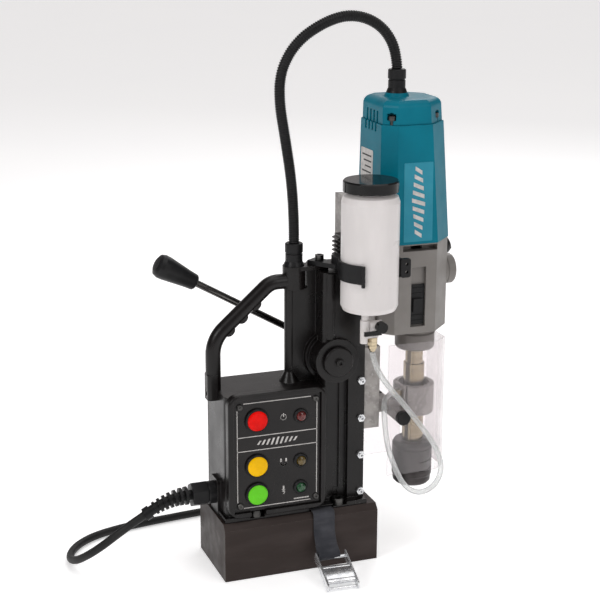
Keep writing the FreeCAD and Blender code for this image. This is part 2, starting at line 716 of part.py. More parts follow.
# The cord leaves along the bend protection's last run, so that their end faces meet.
relief_tip, relief_slope = relief_route[-1], 10.5 / 19
tube("power_cord", [
    relief_tip, (-183, -2, relief_tip[2] - 15 * relief_slope), (-199, 0, 53), (-215, 6, 39),
    (-229, 17, 25.5), (-238, 33, 14), (-241, 53, 7), (-236, 75, floor_height), (-222, 95, floor_height),
    (-199, 111, floor_height), (-168, 121, floor_height), (-132, 127, floor_height),
    (-94, 131, floor_height), (-56, 134.5, floor_height), (-18, 137, floor_height),
    (16, 138.5, floor_height), (44, 138.3, floor_height), (71.5, 137, floor_height),
], d.cord_diameter)
half_band = d.cord_diameter * 2
turned("cord_coil", [
    (coil_turn_radius - half_band, 0.1), (coil_turn_radius + half_band, 0.1),
    (coil_turn_radius + half_band, d.cord_diameter * 2), (coil_turn_radius - half_band, d.cord_diameter * 2),
], (*coil_centre, 0))


def power_plug():
    """A round two-pin mains plug with its own tapered strain relief."""
    shell = turned("plug_shell", [
        (0, 0), (5, 0), (6, 20), (11, 24), (17, 31), (18, 40), (18, 56), (16, 58), (0, 58),
    ], (0, 0, 0))
    pins = [rod("plug_pin", 2.4, 19.5, (0, side * 9.5, 57.5)) for side in (-1, 1)]
    plug = fuse("power_plug", shell, *pins)
    place(plug, (coil_centre[0] - 4 * d.cord_diameter, coil_centre[1] + 7, d.cord_diameter * 2 + 18.1), "-Y")


power_plug()

# ---------------------------------------------------------------- coolant bottle, tap and hose
clip_bottom, clip_top = 335.3, 355
clip_inner = d.bottle_radius + 0.3
clip_outer = clip_inner + 2.4


def bottle():
    """A blown bottle, open at the neck, with its outlet spout under it."""
    wall, radius = 1.6, d.bottle_radius
    height = d.bottle_shoulder - d.bottle_bottom
    shell = turned("bottle_shell", [
        (0, 0), (radius - 8, 0), (radius - 2.4, 2), (radius, 7), (radius, height - 10),
        (radius - 2, height - 4), (radius - 7.5, height - 0.5), (radius - 7.5, height + 7),
        (radius - 9.5, height + 7), (radius - 9.5, height - 2), (radius - 4, height - 6),
        (radius - wall, height - 11), (radius - wall, 8), (radius - 4, 3.6), (radius - 8.6, wall), (0, wall),
    ], (d.bottle_x, d.bottle_y, d.bottle_bottom))
    spout = rod("bottle_spout", 4, 16, (d.tap_x, d.bottle_y, 283.5))
    flare = taper("spout_flare", 4.2, 8, 5, (d.tap_x, d.bottle_y, d.bottle_bottom - 4.5))
    fuse("bottle", shell, spout, flare)
    turned("bottle_cap", [
        (0, 12.5), (d.cap_radius - 1.5, 12.5), (d.cap_radius, 11), (d.cap_radius, 0.6),
        (d.cap_radius - 1.8, 0.6),
        (d.cap_radius - 1.8, 10.7), (0, 10.7),
    ], (d.bottle_x, d.bottle_y, d.cap_top - 12.5))


def bracket_arm():
    """The flat arm from the column's top to the clip."""
    start, end = Vector(27, 2, 0), Vector(50, -30, 0)
    along = (end - start).normalize()
    across = Vector(-along.y, along.x, 0) * 7.5
    corners = [start + across, start - across, end - across, end + across]
    return plate("bracket_arm", [(corner.x, corner.y) for corner in corners], 5, (0, 0, arm_top - 5),
                 holes=[(*top_screw_place, 3.2)])


def bottle_clip():
    """A C-shaped clip round the bottle, open to the near side, on its arm from the column. A tab with two
    holes stands out from its free end."""
    centre = (d.bottle_x, d.bottle_y)
    height = clip_top - clip_bottom
    ring = rod("clip_outside", clip_outer, height, (*centre, clip_bottom))
    base = box("clip_base", (42, -38, arm_top - 5), (58, -20, 353))
    body = cut("clip_body", fuse("clip_blank", ring, base),
               rod("clip_inside", clip_inner, 30, (*centre, clip_bottom - 4)),
               box("clip_mouth", (d.bottle_x - 19, d.bottle_y - 40, clip_bottom - 1),
                   (d.bottle_x + 40, d.bottle_y - 11, clip_top + 1)))
    near_lip = rod("near_lip", 2, height + 3, (d.bottle_x - 19, d.bottle_y - 28.2, clip_bottom - 3))
    tab = fillet("tab", box("tab_stock", (d.bottle_x + 30.5, d.bottle_y - 13, clip_bottom - 0.5),
                            (d.bottle_x + 42, d.bottle_y - 8.5, clip_top + 0.5)), 2.5, along_y)
    tab_holes = [rod("tab_hole", 1.7, 12, (d.bottle_x + 37.5, d.bottle_y - 16, z), "Y")
                 for z in (clip_bottom + 5.5, clip_top - 5.5)]
    bottle_way = rod("bottle_way", clip_inner, 30, (*centre, clip_bottom - 4))
    trimmed = cut("tab_trimmed", tab, bottle_way, *tab_holes)
    fuse("bottle_clip", body, near_lip, trimmed, bracket_arm())


fitting_x = 74.7


def tap():
    """The quarter-turn tap under the bottle, its lever, and the brass fitting for the hose."""
    y = d.bottle_y
    socket = cut("tap_socket", rod("socket_stock", 5.2, 12, (d.tap_x, y, 276)),
                 rod("socket_bore", 4.05, 6, (d.tap_x, y, 283.4)))
    stem = rod("tap_stem", 4.2, 15, (d.tap_x - 1, y, 262.5))
    bridge = box("tap_bridge", (d.tap_x, y - 4.2, 268.5), (fitting_x + 5, y + 4.2, 278))
    barrel = rod("tap_barrel", 5.6, 14.5, (d.tap_x + 4.5, y, 281), "X")
    fuse("tap_body", socket, stem, bridge, barrel)
    hub = rod("lever_hub", 6.2, 7, (81, y - 5.7, 281), "-Y")
    bar = box("lever_bar", (60.5, y - 12.5, 273.4), (80, y - 9.9, 278.2))
    fuse("tap_lever", hub, bar)
    hexed = hexagon("fitting_hex", 4.9, 9, (fitting_x, y, 259.4))
    barb = turned("fitting_barb", [(0, 0), (2.6, 0), (3.6, 1.6), (3.6, 3.6), (5, 4), (5, 7.5), (0, 7.5)],
                  (fitting_x, y, 252))
    fuse("hose_fitting", hexed, barb)


bottle()
bottle_clip()
tap()
tube("coolant_hose", [
    (fitting_x, d.bottle_y, 251.3), (76.5, -60.3, 241), (85, -60, 223), (99, -59.5, 204), (116, -59, 184),
    (132, -58, 163), (148, -56.5, 142), (160.5, -55, 121), (166, -53.5, 99), (158, -52, 80), (140, -50, 72.5),
    (123, -48, 82), (111.5, -46.5, 104), (103, -45, 128), (100, -42.5, 149), (100.3, -37.5, 167),
    (103.5, -28.5, 178.5), (110.6, -19.5, 182.8), (119.6, -11.4, 182),
], d.hose_diameter)

# ---------------------------------------------------------------- feed shaft with its levers
spoke_angles = (150, 30, 270)


def tooth_outline(teeth, module, addendum, share):
    """One gear tooth about +X: involute flanks from the base circle, a radial root below it. share is
    the tooth's part of the pitch."""
    pitch_radius = teeth * module / 2
    base_radius = pitch_radius * math.cos(math.radians(20))
    root_radius, tip_radius = pitch_radius - 1.25 * module, pitch_radius + addendum * module

    def involute(radius):
        return math.sqrt(max((radius / base_radius) ** 2 - 1, 0)) - math.acos(min(base_radius / radius, 1))

    half_tooth = share * math.pi / teeth + involute(pitch_radius)
    start = max(base_radius, root_radius)
    flank = [(root_radius - 0.6, half_tooth)] if start == root_radius else [
        (root_radius - 0.6, half_tooth), (start, half_tooth)]
    steps = 4
    for step in range(1, steps + 1):
        radius = start + (tip_radius - start) * step / steps
        flank.append((radius, half_tooth - involute(radius)))
    lower = [(r * math.cos(angle), -r * math.sin(angle)) for r, angle in flank]
    upper = [(r * math.cos(angle), r * math.sin(angle)) for r, angle in reversed(flank)]
    return lower + upper


def gear(label, teeth, module, width, at, turn="Z", addendum=0.9, share=0.44, phase=0):
    """A spur gear. phase turns its first tooth away from +X, in degrees."""
    body = new_body(label)
    root_radius = teeth * module / 2 - 1.25 * module
    pad(body, sketch_on(body, "XY_Plane", [], circles=[(0, 0, root_radius)]), width)
    tooth = pad(body, sketch_on(body, "XY_Plane", tooth_outline(teeth, module, addendum, share)), width)
    pattern = body.newObject("PartDesign::PolarPattern", f"{label}_teeth")
    pattern.Originals = [tooth]
    pattern.Axis = (body.Origin.OriginFeatures[2], [""])
    pattern.Angle = 360
    pattern.Occurrences = teeth
    body.Tip = pattern
    spin = AXES[turn] if isinstance(turn, str) else turn
    return place(body, at, spin * Rotation(Vector(0, 0, 1), phase))


def feed_shaft():
    """The pinion shaft through the boss, the lever hub on its far end and the disc on its near end."""
    axis = (d.pinion_x, 0, d.pinion_height)
    half = d.boss_reach
    waist = d.shaft_radius - 1.3
    shaft = turned("shaft_core", [
        (0, 0), (d.shaft_radius, 0), (d.shaft_radius, 24.5), (waist, 25.2), (waist, 43.8),
        (d.shaft_radius, 44.5),
        (d.shaft_radius, 70), (0, 70),
    ], (axis[0], -half - 0.5, axis[2]), "Y")
    teeth = gear("pinion_teeth", 13, d.gear_module, 17, (axis[0], 8.5, axis[2]), "-Y")
    fuse("pinion_shaft", shaft, teeth)
    disc = turned("disc_body", [(0, 0.1), (17, 0.1), (17, 4), (15.6, 5.2), (8, 5.6), (0, 5.6)],
                  (axis[0], -half - 0.4, axis[2]), "-Y")
    screw = turned("disc_screw", [(0, 0), (4.6, 0), (4.6, 3), (4, 3.6), (2, 3.6), (2, 1.4), (0, 1.4)],
                   (axis[0], -half - 6, axis[2]), "-Y")
    fuse("end_disc", disc, screw)
    hub_start = half + 1.5
    turned("lever_hub_body", [
        (0, 0), (18, 0), (20, 2), (20, 10), (17, 13), (17, 36), (14, 39), (0, 39),
    ], (axis[0], hub_start, axis[2]), "Y").Label = "capstan_hub"
    rods, knobs = [], []
    for angle in spoke_angles:
        heading = Vector(math.cos(math.radians(angle)), 0, math.sin(math.radians(angle)))
        turn = Rotation(Vector(0, 0, 1), heading)
        foot = Vector(float(axis[0]), float(d.spoke_plane), float(axis[2]))
        start = foot + heading * 17
        knob_at = foot + heading * float(d.lever_reach - d.knob_length)
        rods.append(rod("spoke", d.spoke_radius, d.lever_reach - d.knob_length - 17, start, turn))
        knobs.append(turned("knob", [
            (0, 0), (7.6, 0), (9, 1.5), (10, 12), (13.4, 38), (13.6, 44), (12, 48.5), (8, 50.6), (0, 51),
        ], knob_at, turn))
    group("lever_rods", *rods)
    group("lever_knobs", *knobs)


feed_shaft()

# ---------------------------------------------------------------- slide and rack
rack_tooth_pitch = math.pi * d.gear_module


def slide():
    """The dovetailed slide: tail, a wide lower block and a thinner upper plate for the drill unit."""
    front = d.column_front + 0.1
    tail = dovetail("slide_tail", d.slide_gap, d.slide_bottom, d.slide_top, d.gib_thickness + 0.1)
    tail_top = box("tail_trim", (front, -30, 0), (front + 5, 30, 500))
    tail_body = cut("tail_body", tail, tail_top)
    lower = box("slide_block", (front, -28, d.slide_bottom), (d.slide_front + 6, 28, d.slide_step - 2))
    upper = box("slide_plate", (front, -26, d.slide_bottom + 20), (d.slide_front, 26, d.slide_top))
    seat = box("slide_link", (front - 2, -13.5, d.slide_bottom), (front + 1, 16.5, d.slide_top))
    fuse("slide", tail_body, lower, upper, seat)


def rack():
    """The feed rack on the slide's back, its teeth towards the pinion."""
    length, back = 216, d.tail_back + d.slide_gap
    pitch_line = d.pinion_x + 13 * d.gear_module / 2 + 0.12
    module = d.gear_module
    body = new_body("rack")
    bar_face = pitch_line + module * 1.25
    start = d.slide_bottom + 3
    pad(body, sketch_on(body, "XZ_Plane", rectangle(bar_face, start, back, start + length)), 16)
    half = float(rack_tooth_pitch) * 0.22
    slope = math.tan(math.radians(20))
    first = float(d.pinion_height) + float(rack_tooth_pitch) * (0.5 - 17)
    tip, root = float(pitch_line - module * 0.9), float(bar_face) + 0.3
    reach, depth = float(pitch_line) - tip, root - float(pitch_line)
    outline = [
        (root, first - half - depth * slope), (tip, first - half + reach * slope),
        (tip, first + half - reach * slope), (root, first + half + depth * slope),
    ]
    tooth = pad(body, sketch_on(body, "XZ_Plane", outline), 16)
    pattern = body.newObject("PartDesign::LinearPattern", "rack_teeth")
    pattern.Originals = [tooth]
    pattern.Direction = (body.Origin.OriginFeatures[2], [""])
    count = 45
    pattern.Length = float(rack_tooth_pitch) * (count - 1)
    pattern.Occurrences = count
    body.Tip = pattern
    place(body, (0, 8, 0))


slide()
rack()

# ---------------------------------------------------------------- motor
rear_corner, front_corner = (-31, 33), (22, 26)
motor_corners = [(x, side * y) for x, y in (rear_corner, front_corner) for side in (-1, 1)]


def unit_section(inset, height):
    """The drill unit's eight-sided outline about the motor's axis at a height. Its front corners are cut
    wider, and above the motor's foot every side leans inwards."""
    share = max(0.0, (float(height) - float(d.motor_bottom)) / float(d.motor_top - d.motor_bottom))
    rear = d.motor_half_x - d.rear_taper * share - inset
    front = d.motor_front - d.front_taper * share - inset
    half = d.motor_half_y - d.side_taper * share - inset
    rear_cut = d.rear_chamfer - inset * 0.58
    front_cut = d.front_chamfer - inset * 0.58
    return [
        (-rear, rear_cut - half), (rear_cut - rear, -half), (front - front_cut, -half),
        (front, front_cut - half), (front, half - front_cut), (front - front_cut, half),
        (rear_cut - rear, half), (-rear, half - rear_cut),
    ]


def eight_sided_bar(label, inset, low, high):
    """A bar of the drill unit's section, inset from its full size, between two heights."""
    return tapered_bar(label, unit_section(inset, low), unit_section(inset, high),
                       (d.motor_x, 0, low), (d.motor_x, 0, high))


def motor_housing():
    """The blue motor shell, open at the top and bottom, with cooling slots near its top."""
    shell = eight_sided_bar("motor_shell", 0, d.motor_bottom, d.motor_joint)
    hollow = eight_sided_bar("motor_hollow", d.motor_wall, d.motor_bottom + 6, d.motor_joint + 1)
    floor_hole = rod("motor_floor_hole", 36, 10, (d.motor_x, 0, d.motor_bottom - 1))
    holes = [rod("cap_screw_hole", 2.55, 16, (d.motor_x + x, y, d.motor_joint - 14))
             for x, y in motor_corners]
    bosses = [common("cap_boss", rod("boss_post", 6, 18, (d.motor_x + x, y, d.motor_joint - 18)),
                     eight_sided_bar("boss_limit", 1, d.motor_joint - 20, d.motor_joint))
              for x, y in motor_corners]
    body = fuse("motor_casting", cut("motor_can", shell, hollow, floor_hole), *bosses)
    cut("motor_housing", body, *holes, *vent_slots(d.motor_joint - 9, d.motor_joint + 2))


def vent_slots(low, high):
    """Four upright slots in each side wall, between two heights."""
    slots = []
    for wall in (-d.motor_half_x + 4, d.motor_half_x - 8.5):
        for step in range(4):
            x = d.motor_x + wall
            y = -13 + 9 * step
            slots.append(box("vent", (x - 4, y - 2, low), (x + 4, y + 2, high)))
    return slots


def motor_cap():
    """The motor's top cap, rounded over, with pockets for its four screws."""
    block = eight_sided_bar("cap_block", d.cap_step, d.motor_joint, d.motor_top)
    rounded = fillet("cap_rounded", block, 9, lambda edge: edge.BoundBox.ZMin > float(d.motor_top) - 0.01)
    hollow = eight_sided_bar("cap_hollow", d.motor_wall + d.cap_step, d.motor_joint - 1, d.motor_top - 9)
    seat = rod("bearing_seat", 13, 14, (d.motor_x, 0, d.motor_top - 18))
    bore = rod("bearing_bore", 8.05, 12, (d.motor_x, 0, d.motor_top - 19))
    gland_pad = taper("gland_seat", 14, 11.8, 4.5, (conduit_x, 0, d.motor_top - 0.5))
    posts = [common("cap_post", rod("post", 7, 12, (d.motor_x + x, y, d.motor_joint)),
                    eight_sided_bar("post_limit", d.cap_step + 0.5, d.motor_joint, d.motor_top - 5))
             for x, y in motor_corners]
    body = fuse("cap_body", cut("cap_can", rounded, hollow), seat, gland_pad, *posts)
    tools = [bore, *vent_slots(d.motor_joint - 2, d.motor_joint + 13),
             rod("cap_cable_hole", 5.6, 30, (conduit_x, 0, d.motor_top - 15))]
    for x, y in motor_corners:
        at = (d.motor_x + x, y)
        tools.append(rod("screw_way", 2.7, 14, (*at, d.motor_joint - 1)))
        tools.append(rod("screw_pocket", 5.4, 7, (*at, d.motor_joint + 5)))
    cut("motor_cap", body, *tools)


def motor_inside():
    """Armature with shaft, windings, commutator and fan, and the field core round it."""
    x = d.motor_x
    turned("motor_stator", tube_profile(34, 25, 0, 62), (x, 0, d.motor_bottom + 30))
    profile = [
        (0, 334.2), (4, 334.2), (4, 352), (6, 352), (6, 372), (33, 373), (33, 376), (8, 380), (8, 388),
        (20, 390), (24, 394), (24, 456), (20, 460), (8, 462), (14, 466), (14, 482), (6, 484), (6, 498),
        (4, 498), (4, 508), (0, 508),
    ]
    core = turned("armature_core", profile, (x, 0, 0))
    teeth = gear("armature_pinion", 9, 1, 14, (x, 0, 321), share=0.42, phase=armature_phase())
    fuse("armature", core, teeth)
    bearings = [turned("top_bearing", tube_profile(8, 4.05, 0, 7), (x, 0, 500)),
                turned("drive_bearing", tube_profile(11, 4.05, 0, 8), (x, 0, d.gear_top - 9.5))]
    group("armature_bearings", *bearings)
    group("motor_screws", *[socket_screw("motor_screw", 2.5, 17, (x + cx, cy, d.motor_joint + 5))
                            for cx, cy in motor_corners])


# ---------------------------------------------------------------- gear train
def transfer_place():
    """The transfer shaft stands at 20 mm from both the armature's and the spindle's axes."""
    half_gap = float(d.spindle_x - d.motor_x) / 2
    return (float(d.motor_x) + half_gap, math.sqrt(20 ** 2 - half_gap ** 2))


def heading_to(x, y, start_x, start_y):
    return math.degrees(math.atan2(y - start_y, x - start_x))


def armature_phase():
    """Points an armature tooth at the transfer shaft."""
    return heading_to(*transfer_place(), float(d.motor_x), 0)


def gear_train():
    """Transfer gear pair, spindle gear and spindle, in mesh."""
    x, y = transfer_place()
    towards_armature = heading_to(float(d.motor_x), 0, x, y)
    towards_spindle = heading_to(float(d.spindle_x), 0, x, y)
    wheel = gear("transfer_wheel", 31, 1, 11, (x, y, 322.5), share=0.42, phase=towards_armature + 180 / 31)
    small = gear("transfer_pinion", 12, 1, 23, (x, y, 300), share=0.42, phase=towards_spindle)
    shaft = rod("transfer_shaft", 4, 58, (x, y, 284))
    fuse("transfer_gear", wheel, small, shaft)
    back = towards_spindle + 180
    ring = gear("spindle_gear", 28, 1, 14, (d.spindle_x, 0, 302), share=0.42, phase=back + 180 / 28)
    radius = d.spindle_radius
    core = turned("spindle_core", [
        (d.arbor_radius, d.collar_bottom), (17, d.collar_bottom), (17, d.collar_top - 3.1),
        (radius, d.collar_top - 3.1), (radius, 213), (10, 213), (10, 319), (0, 319),
        (0, d.collar_bottom + 46), (d.arbor_radius, d.collar_bottom + 46),
    ], (d.spindle_x, 0, 0))
    fuse("spindle", core, ring)


def quick_change_collar():
    """The sleeve that is pushed up to free the cutter, with finger slots on both sides."""
    low, high, radius = d.collar_bottom, d.collar_top, d.collar_radius
    sleeve = turned("collar_sleeve", [
        (17.05, low), (radius - 3.5, low), (radius - 1.4, low + 2.5), (radius - 0.9, low + 9),
        (radius, low + 10.5),
        (radius, high - 9), (radius - 0.9, high - 8.4), (radius - 0.9, high - 7.4), (radius, high - 6.8),
        (radius, high - 4), (radius - 2.6, high), (12.1, high), (12.1, high - 3), (17.05, high - 3),
    ], (d.spindle_x, 0, 0))
    ring_space = turned("slot_depth", tube_profile(radius + 2, radius - 1.6, low, high), (d.spindle_x, 0, 0))
    slots = []
    for z in (low + 17.5, low + 28.5):
        slots.append(box("near_slot", (d.spindle_x - 1, -30, z), (d.spindle_x + 30, -3, z + 3)))
        slots.append(box("far_slot", (d.spindle_x - 30, 3, z), (d.spindle_x + 1, 30, z + 3)))
    cut("quick_change_collar", sleeve, common("finger_slots", ring_space, fuse("slot_boxes", *slots)))


motor_housing()
motor_cap()
motor_inside()
gear_train()
quick_change_collar()

# ---------------------------------------------------------------- gear housing, neck and arbor support
selector_x = 135


def neck():
    """The neck ring under the gear case, which holds the spindle's lower bearing."""
    return turned("spindle_neck", [
        (10.05, 0), (d.neck_radius - 2, 0), (d.neck_radius, 2.5), (d.neck_radius, 18),
        (d.neck_radius - 1.5, 20),
        (d.neck_radius - 1.5, 30), (10.05, 30),
    ], (d.spindle_x, 0, d.neck_bottom))


def gear_housing():
    """The cast gear case: eight-sided block, pad to the slide, selector recess and a knob boss."""
    case = eight_sided_bar("gear_case", 0.8, d.gear_bottom, d.motor_bottom)
    case_pad = box("case_pad", (d.slide_front, -24, d.gear_bottom + 3), (d.motor_x, 24, d.gear_top))
    knob_boss = rod("knob_boss", 17, 14, (d.motor_x + d.motor_half_x - 8, 0, 320.5), "X")
    casting = fuse("gear_casting", case, case_pad, knob_boss, neck())
    cavity = eight_sided_bar("gear_cavity", 8, d.gear_bottom + 8, d.gear_top - 10)
    tools = [
        cavity,
        rod("spindle_way", 10.05, 42, (d.spindle_x, 0, d.neck_bottom - 1)),
        rod("drive_bearing_seat", 11.05, 12, (d.motor_x, 0, d.gear_top - 9.5)),
        rod("drive_way", 5, 12, (d.motor_x, 0, d.gear_top - 12)),
        rod("throat_bore", 34.5, 20, (d.motor_x, 0, d.gear_top)),
        rod("selector_shaft_way", 4.05, 30, (d.motor_x + d.motor_half_x - 12, 0, 320.5), "X"),
        box("near_air_slot", (d.motor_x - 20.5, -60, d.gear_top + 2),
            (d.motor_x + 20.5, -34, d.motor_bottom - 1.5)),
        box("far_air_slot", (d.motor_x - 20.5, 34, d.gear_top + 2),
            (d.motor_x + 20.5, 60, d.motor_bottom - 1.5)),
        box("selector_recess", (selector_x - 8.7, -d.motor_half_y - 1, 269.5),
            (selector_x + 8.7, -d.motor_half_y + 6, 337)),
    ]
    cut("gear_housing", casting, *tools)


def arbor_support():
    """The ring that steadies the arbor, its arm to the slide, and the lugs for the guard's screws."""
    low, high = d.ring_bottom, d.ring_top
    ring = turned("support_ring", [
        (12.05, low), (d.ring_radius - 1, low), (d.ring_radius, low + 1), (d.ring_radius, high - 1),
        (d.ring_radius - 1, high), (17.5, high), (17.5, high - 7), (12.05, high - 7),
    ], (d.spindle_x, 0, 0))
    arm = box("support_arm", (d.slide_front + 6, -9, 161), (d.spindle_x - 18, 9, 173))
    lugs = box("guard_lugs", (117.5, -d.guard_half_width + 0.3, 156.5),
               (129, d.guard_half_width - 0.3, 167.5))
    holes = rod("lug_holes", 2.05, 80, (d.guard_slot_x, -40, d.knob_height), "Y")
    clear = rod("arbor_clearance", 12.05, 60, (d.spindle_x, 0, 150))
    split = box("clamp_split", (d.spindle_x - 17, -26, low + 9), (d.spindle_x - 15, -13, high + 1))
    cut("arbor_support", fuse("support_casting", ring, arm, lugs), holes, clear, split)


def selector_slide():
    """The two-speed selector in its recess on the near side of the gear case."""
    depth = d.motor_half_y - 6
    back = box("selector_back", (selector_x - 8.2, -depth - 2.2, 271.5),
               (selector_x + 8.2, -depth - 0.1, 316.5))
    grip = box("selector_grip", (selector_x - 5.5, -depth - 5, 286), (selector_x + 5.5, -depth - 2, 301))
    ribs = [box("selector_rib", (selector_x - 8.2, -depth - 3, z), (selector_x + 8.2, -depth - 2, z + 1.2))
            for z in (275, 281, 306, 312)]
    fuse("speed_selector", back, grip, *ribs)


def gear_knob():
    """The gear change knob on the front boss."""
    start = d.motor_x + d.motor_half_x + 6.3
    cap = turned("knob_cap", [
        (0, 0), (16.4, 0), (17, 1), (17, 8), (15.8, 9.6), (6, 10.2), (0, 10.2),
    ], (start, 0, 320.5), "X")
    shaft = rod("knob_shaft", 4, 12, (start - 11.5, 0, 320.5), "X")
    fuse("gear_knob", cap, shaft)


gear_housing()
arbor_support()
selector_slide()
gear_knob()
inlet_turn = Rotation(Vector(0, 0, 1), Vector(-11, -3.8, 0.6))
cut("coolant_inlet",
    turned("inlet_barb",
           [(0, 0), (4.6, 0), (4.6, 4.5), (2.6, 5.5), (2.6, 9), (3.4, 9.4), (2.6, 11.4), (0, 11.4)],
           (131.4, -7.2, 181.4), inlet_turn),
    rod("ring_envelope", d.ring_radius, 40, (d.spindle_x, 0, 160)))

# ---------------------------------------------------------------- guard and its thumb screws


def guard_outline(inset):
    """The guard's section from above: two wings and a front with sloped corners."""
    half = d.guard_half_width + d.guard_sheet - inset
    front, corner = d.guard_front - inset, 12
    back = d.guard_back if inset == 0 else d.guard_back - 5
    return [
        (back, -half), (front - corner, -half), (front, corner - half), (front, half - corner),
        (front - corner, half), (back, half),
    ]


def guard():
    """A clear bent sheet round the cutter, with a slot in each wing."""
    sheet_outside = plate("guard_outside", guard_outline(0), d.guard_height, (0, 0, d.guard_bottom))
    inside = plate("guard_inside", guard_outline(d.guard_sheet), d.guard_height + 2,
                   (0, 0, d.guard_bottom - 1))
    slots = box("guard_slots", (d.guard_slot_x - 2.3, -50, 140), (d.guard_slot_x + 2.3, 50, 194))
    cut("guard", sheet_outside, inside, slots)


def guard_knob(label, side):
    start = side * (d.guard_half_width + d.guard_sheet + 0.1)
    turned(label, [
        (0, -13), (2, -13), (2, 0), (7.2, 0), (8.2, 1), (8.2, 6.5), (7, 8), (0, 8.4),
    ], (d.guard_slot_x, start, d.knob_height), "Y" if side > 0 else "-Y")


guard()
guard_knob("near_guard_knob", -1)
guard_knob("far_guard_knob", 1)

# ---------------------------------------------------------------- safety strap and its buckle
strap_fold_length, strap_folds = 68, 14


def safety_strap():
    """Webbing from the buckle, up the base's near face, through the slot and down the far side, with its
    spare length folded on the floor."""
    x, side = float(d.strap_x), float(base_half_width) + 1.4
    over, edge = float(d.base_height) + 1.4, float(base_half_width) - 5.2
    route = [
        (x, -67.2, 22.8), (x, -56, 30.5), (x, -side - 1, 42), (x, -side, 60.8), (x, -edge, over),
        (x, edge, over), (x, side, 60.8), (x, side, 12), (x, side + 4, 4), (x, side + 13, 1.5),
        (x, side + 20, 1.4),
    ]
    wire, radii = rounded_path(route, 0.3)
    half_width, half_thick = float(d.strap_width) / 2, float(d.strap_thickness) / 2
    heading = wire.Edges[0].tangentAt(0)
    across, normal = Vector(half_width, 0, 0), heading.cross(Vector(1, 0, 0)).normalize() * half_thick
    start = Vector(*route[0])
    corners = [start + across + normal, start - across + normal, start - across - normal,
               start + across - normal, start + across + normal]
    band = doc.addObject("Part::Feature", "strap_band")
    band.Shape = wire.makePipeShell([Part.makePolygon(corners)], True, False)
    stack = box("strap_stack", (d.strap_x - d.strap_width / 2, base_half_width + 15, 0.1),
                (d.strap_x + d.strap_width / 2, base_half_width + 15 + strap_fold_length, strap_folds * 1.8))
    fuse("safety_strap", band, stack)


buckle_turn = Rotation(Vector(0, 0, 1), -4) * Rotation(Vector(1, 0, 0), 19)


def on_buckle(label, *solids):
    """Joins pieces modelled flat and tilts them into place, the far end raised."""
    thing = fuse(label, *solids)
    return place(thing, (d.strap_x + 2, -64, 20.4), buckle_turn)


def buckle():
    """A cam buckle: two side plates on cross bars, and a cam lever between them."""
    sides = [box("buckle_side", (low, -50, -4), (low + 1.8, 2, 5)) for low in (-18, 16.2)]
    bars = [rod("buckle_bar", 1.8, 36, (-18, y, z), "X") for y, z in ((-2, 0), (-47.5, -2))]
    on_buckle("buckle_frame", *sides, *bars)
    ring = cut("cam_ring", rod("cam_outside", 22, 31.2, (-15.6, -31, -16), "X"),
               rod("cam_inside", 20, 34, (-17, -31, -16), "X"))
    plate_part = common("cam_plate", ring, box("cam_limit", (-15.6, -45, 2), (15.6, -17, 8)))
    barrel = rod("cam_barrel", 4.2, 31.2, (-15.6, -21, 0.4), "X")
    roll = rod("cam_roll", 3.4, 31.2, (-15.6, -40, 1.2), "X")
    on_buckle("buckle_cam", plate_part, barrel, roll)


safety_strap()
buckle()

# ---------------------------------------------------------------- checks and export
NODES = [
    "magnet_base", "magnet_coil", "coil_potting", "base_bolts", "main_housing", "rear_cover", "control_panel",
    "panel_screws", "panel_bezels", "red_button", "yellow_button", "green_button", "indicator_lamps",
    "control_board", "gib_strip", "gib_screws", "shaft_bushes", "carry_handle", "handle_screws",
    "conduit_gland_lower", "conduit_gland_upper", "conduit", "power_gland", "power_cord",
    "cord_coil", "power_plug", "bottle", "bottle_cap", "bottle_clip", "tap_body", "tap_lever",
    "hose_fitting", "coolant_hose", "pinion_shaft", "end_disc", "capstan_hub", "lever_rods", "lever_knobs",
    "slide", "rack", "motor_housing", "motor_cap", "motor_stator", "armature", "armature_bearings",
    "motor_screws", "transfer_gear", "spindle", "quick_change_collar", "gear_housing",
    "arbor_support", "speed_selector", "gear_knob", "coolant_inlet", "guard", "near_guard_knob",
    "far_guard_knob", "safety_strap", "buckle_frame", "buckle_cam",
]


def export():
    """Checks every object and writes each sub-part's STEP file."""
    doc.recompute()
    failed = [thing.Label for thing in doc.Objects if {"Invalid", "Error"} & set(thing.State)]
    by_label = {thing.Label: thing for thing in doc.Objects}
    for node in NODES:
        shape = by_label[node].Shape
        if shape.isNull() or not shape.isValid() or shape.Volume <= 0:
            failed.append(node)
    if failed:
        raise ValueError(f"these objects failed: {sorted(set(failed))}")
    os.makedirs("parts", exist_ok=True)
    for node in NODES:
        by_label[node].Shape.exportStep(f"parts/{node}.step")


export()
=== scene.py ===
import json
import math
import random

import bmesh
import bpy
from mathutils import Matrix, Vector


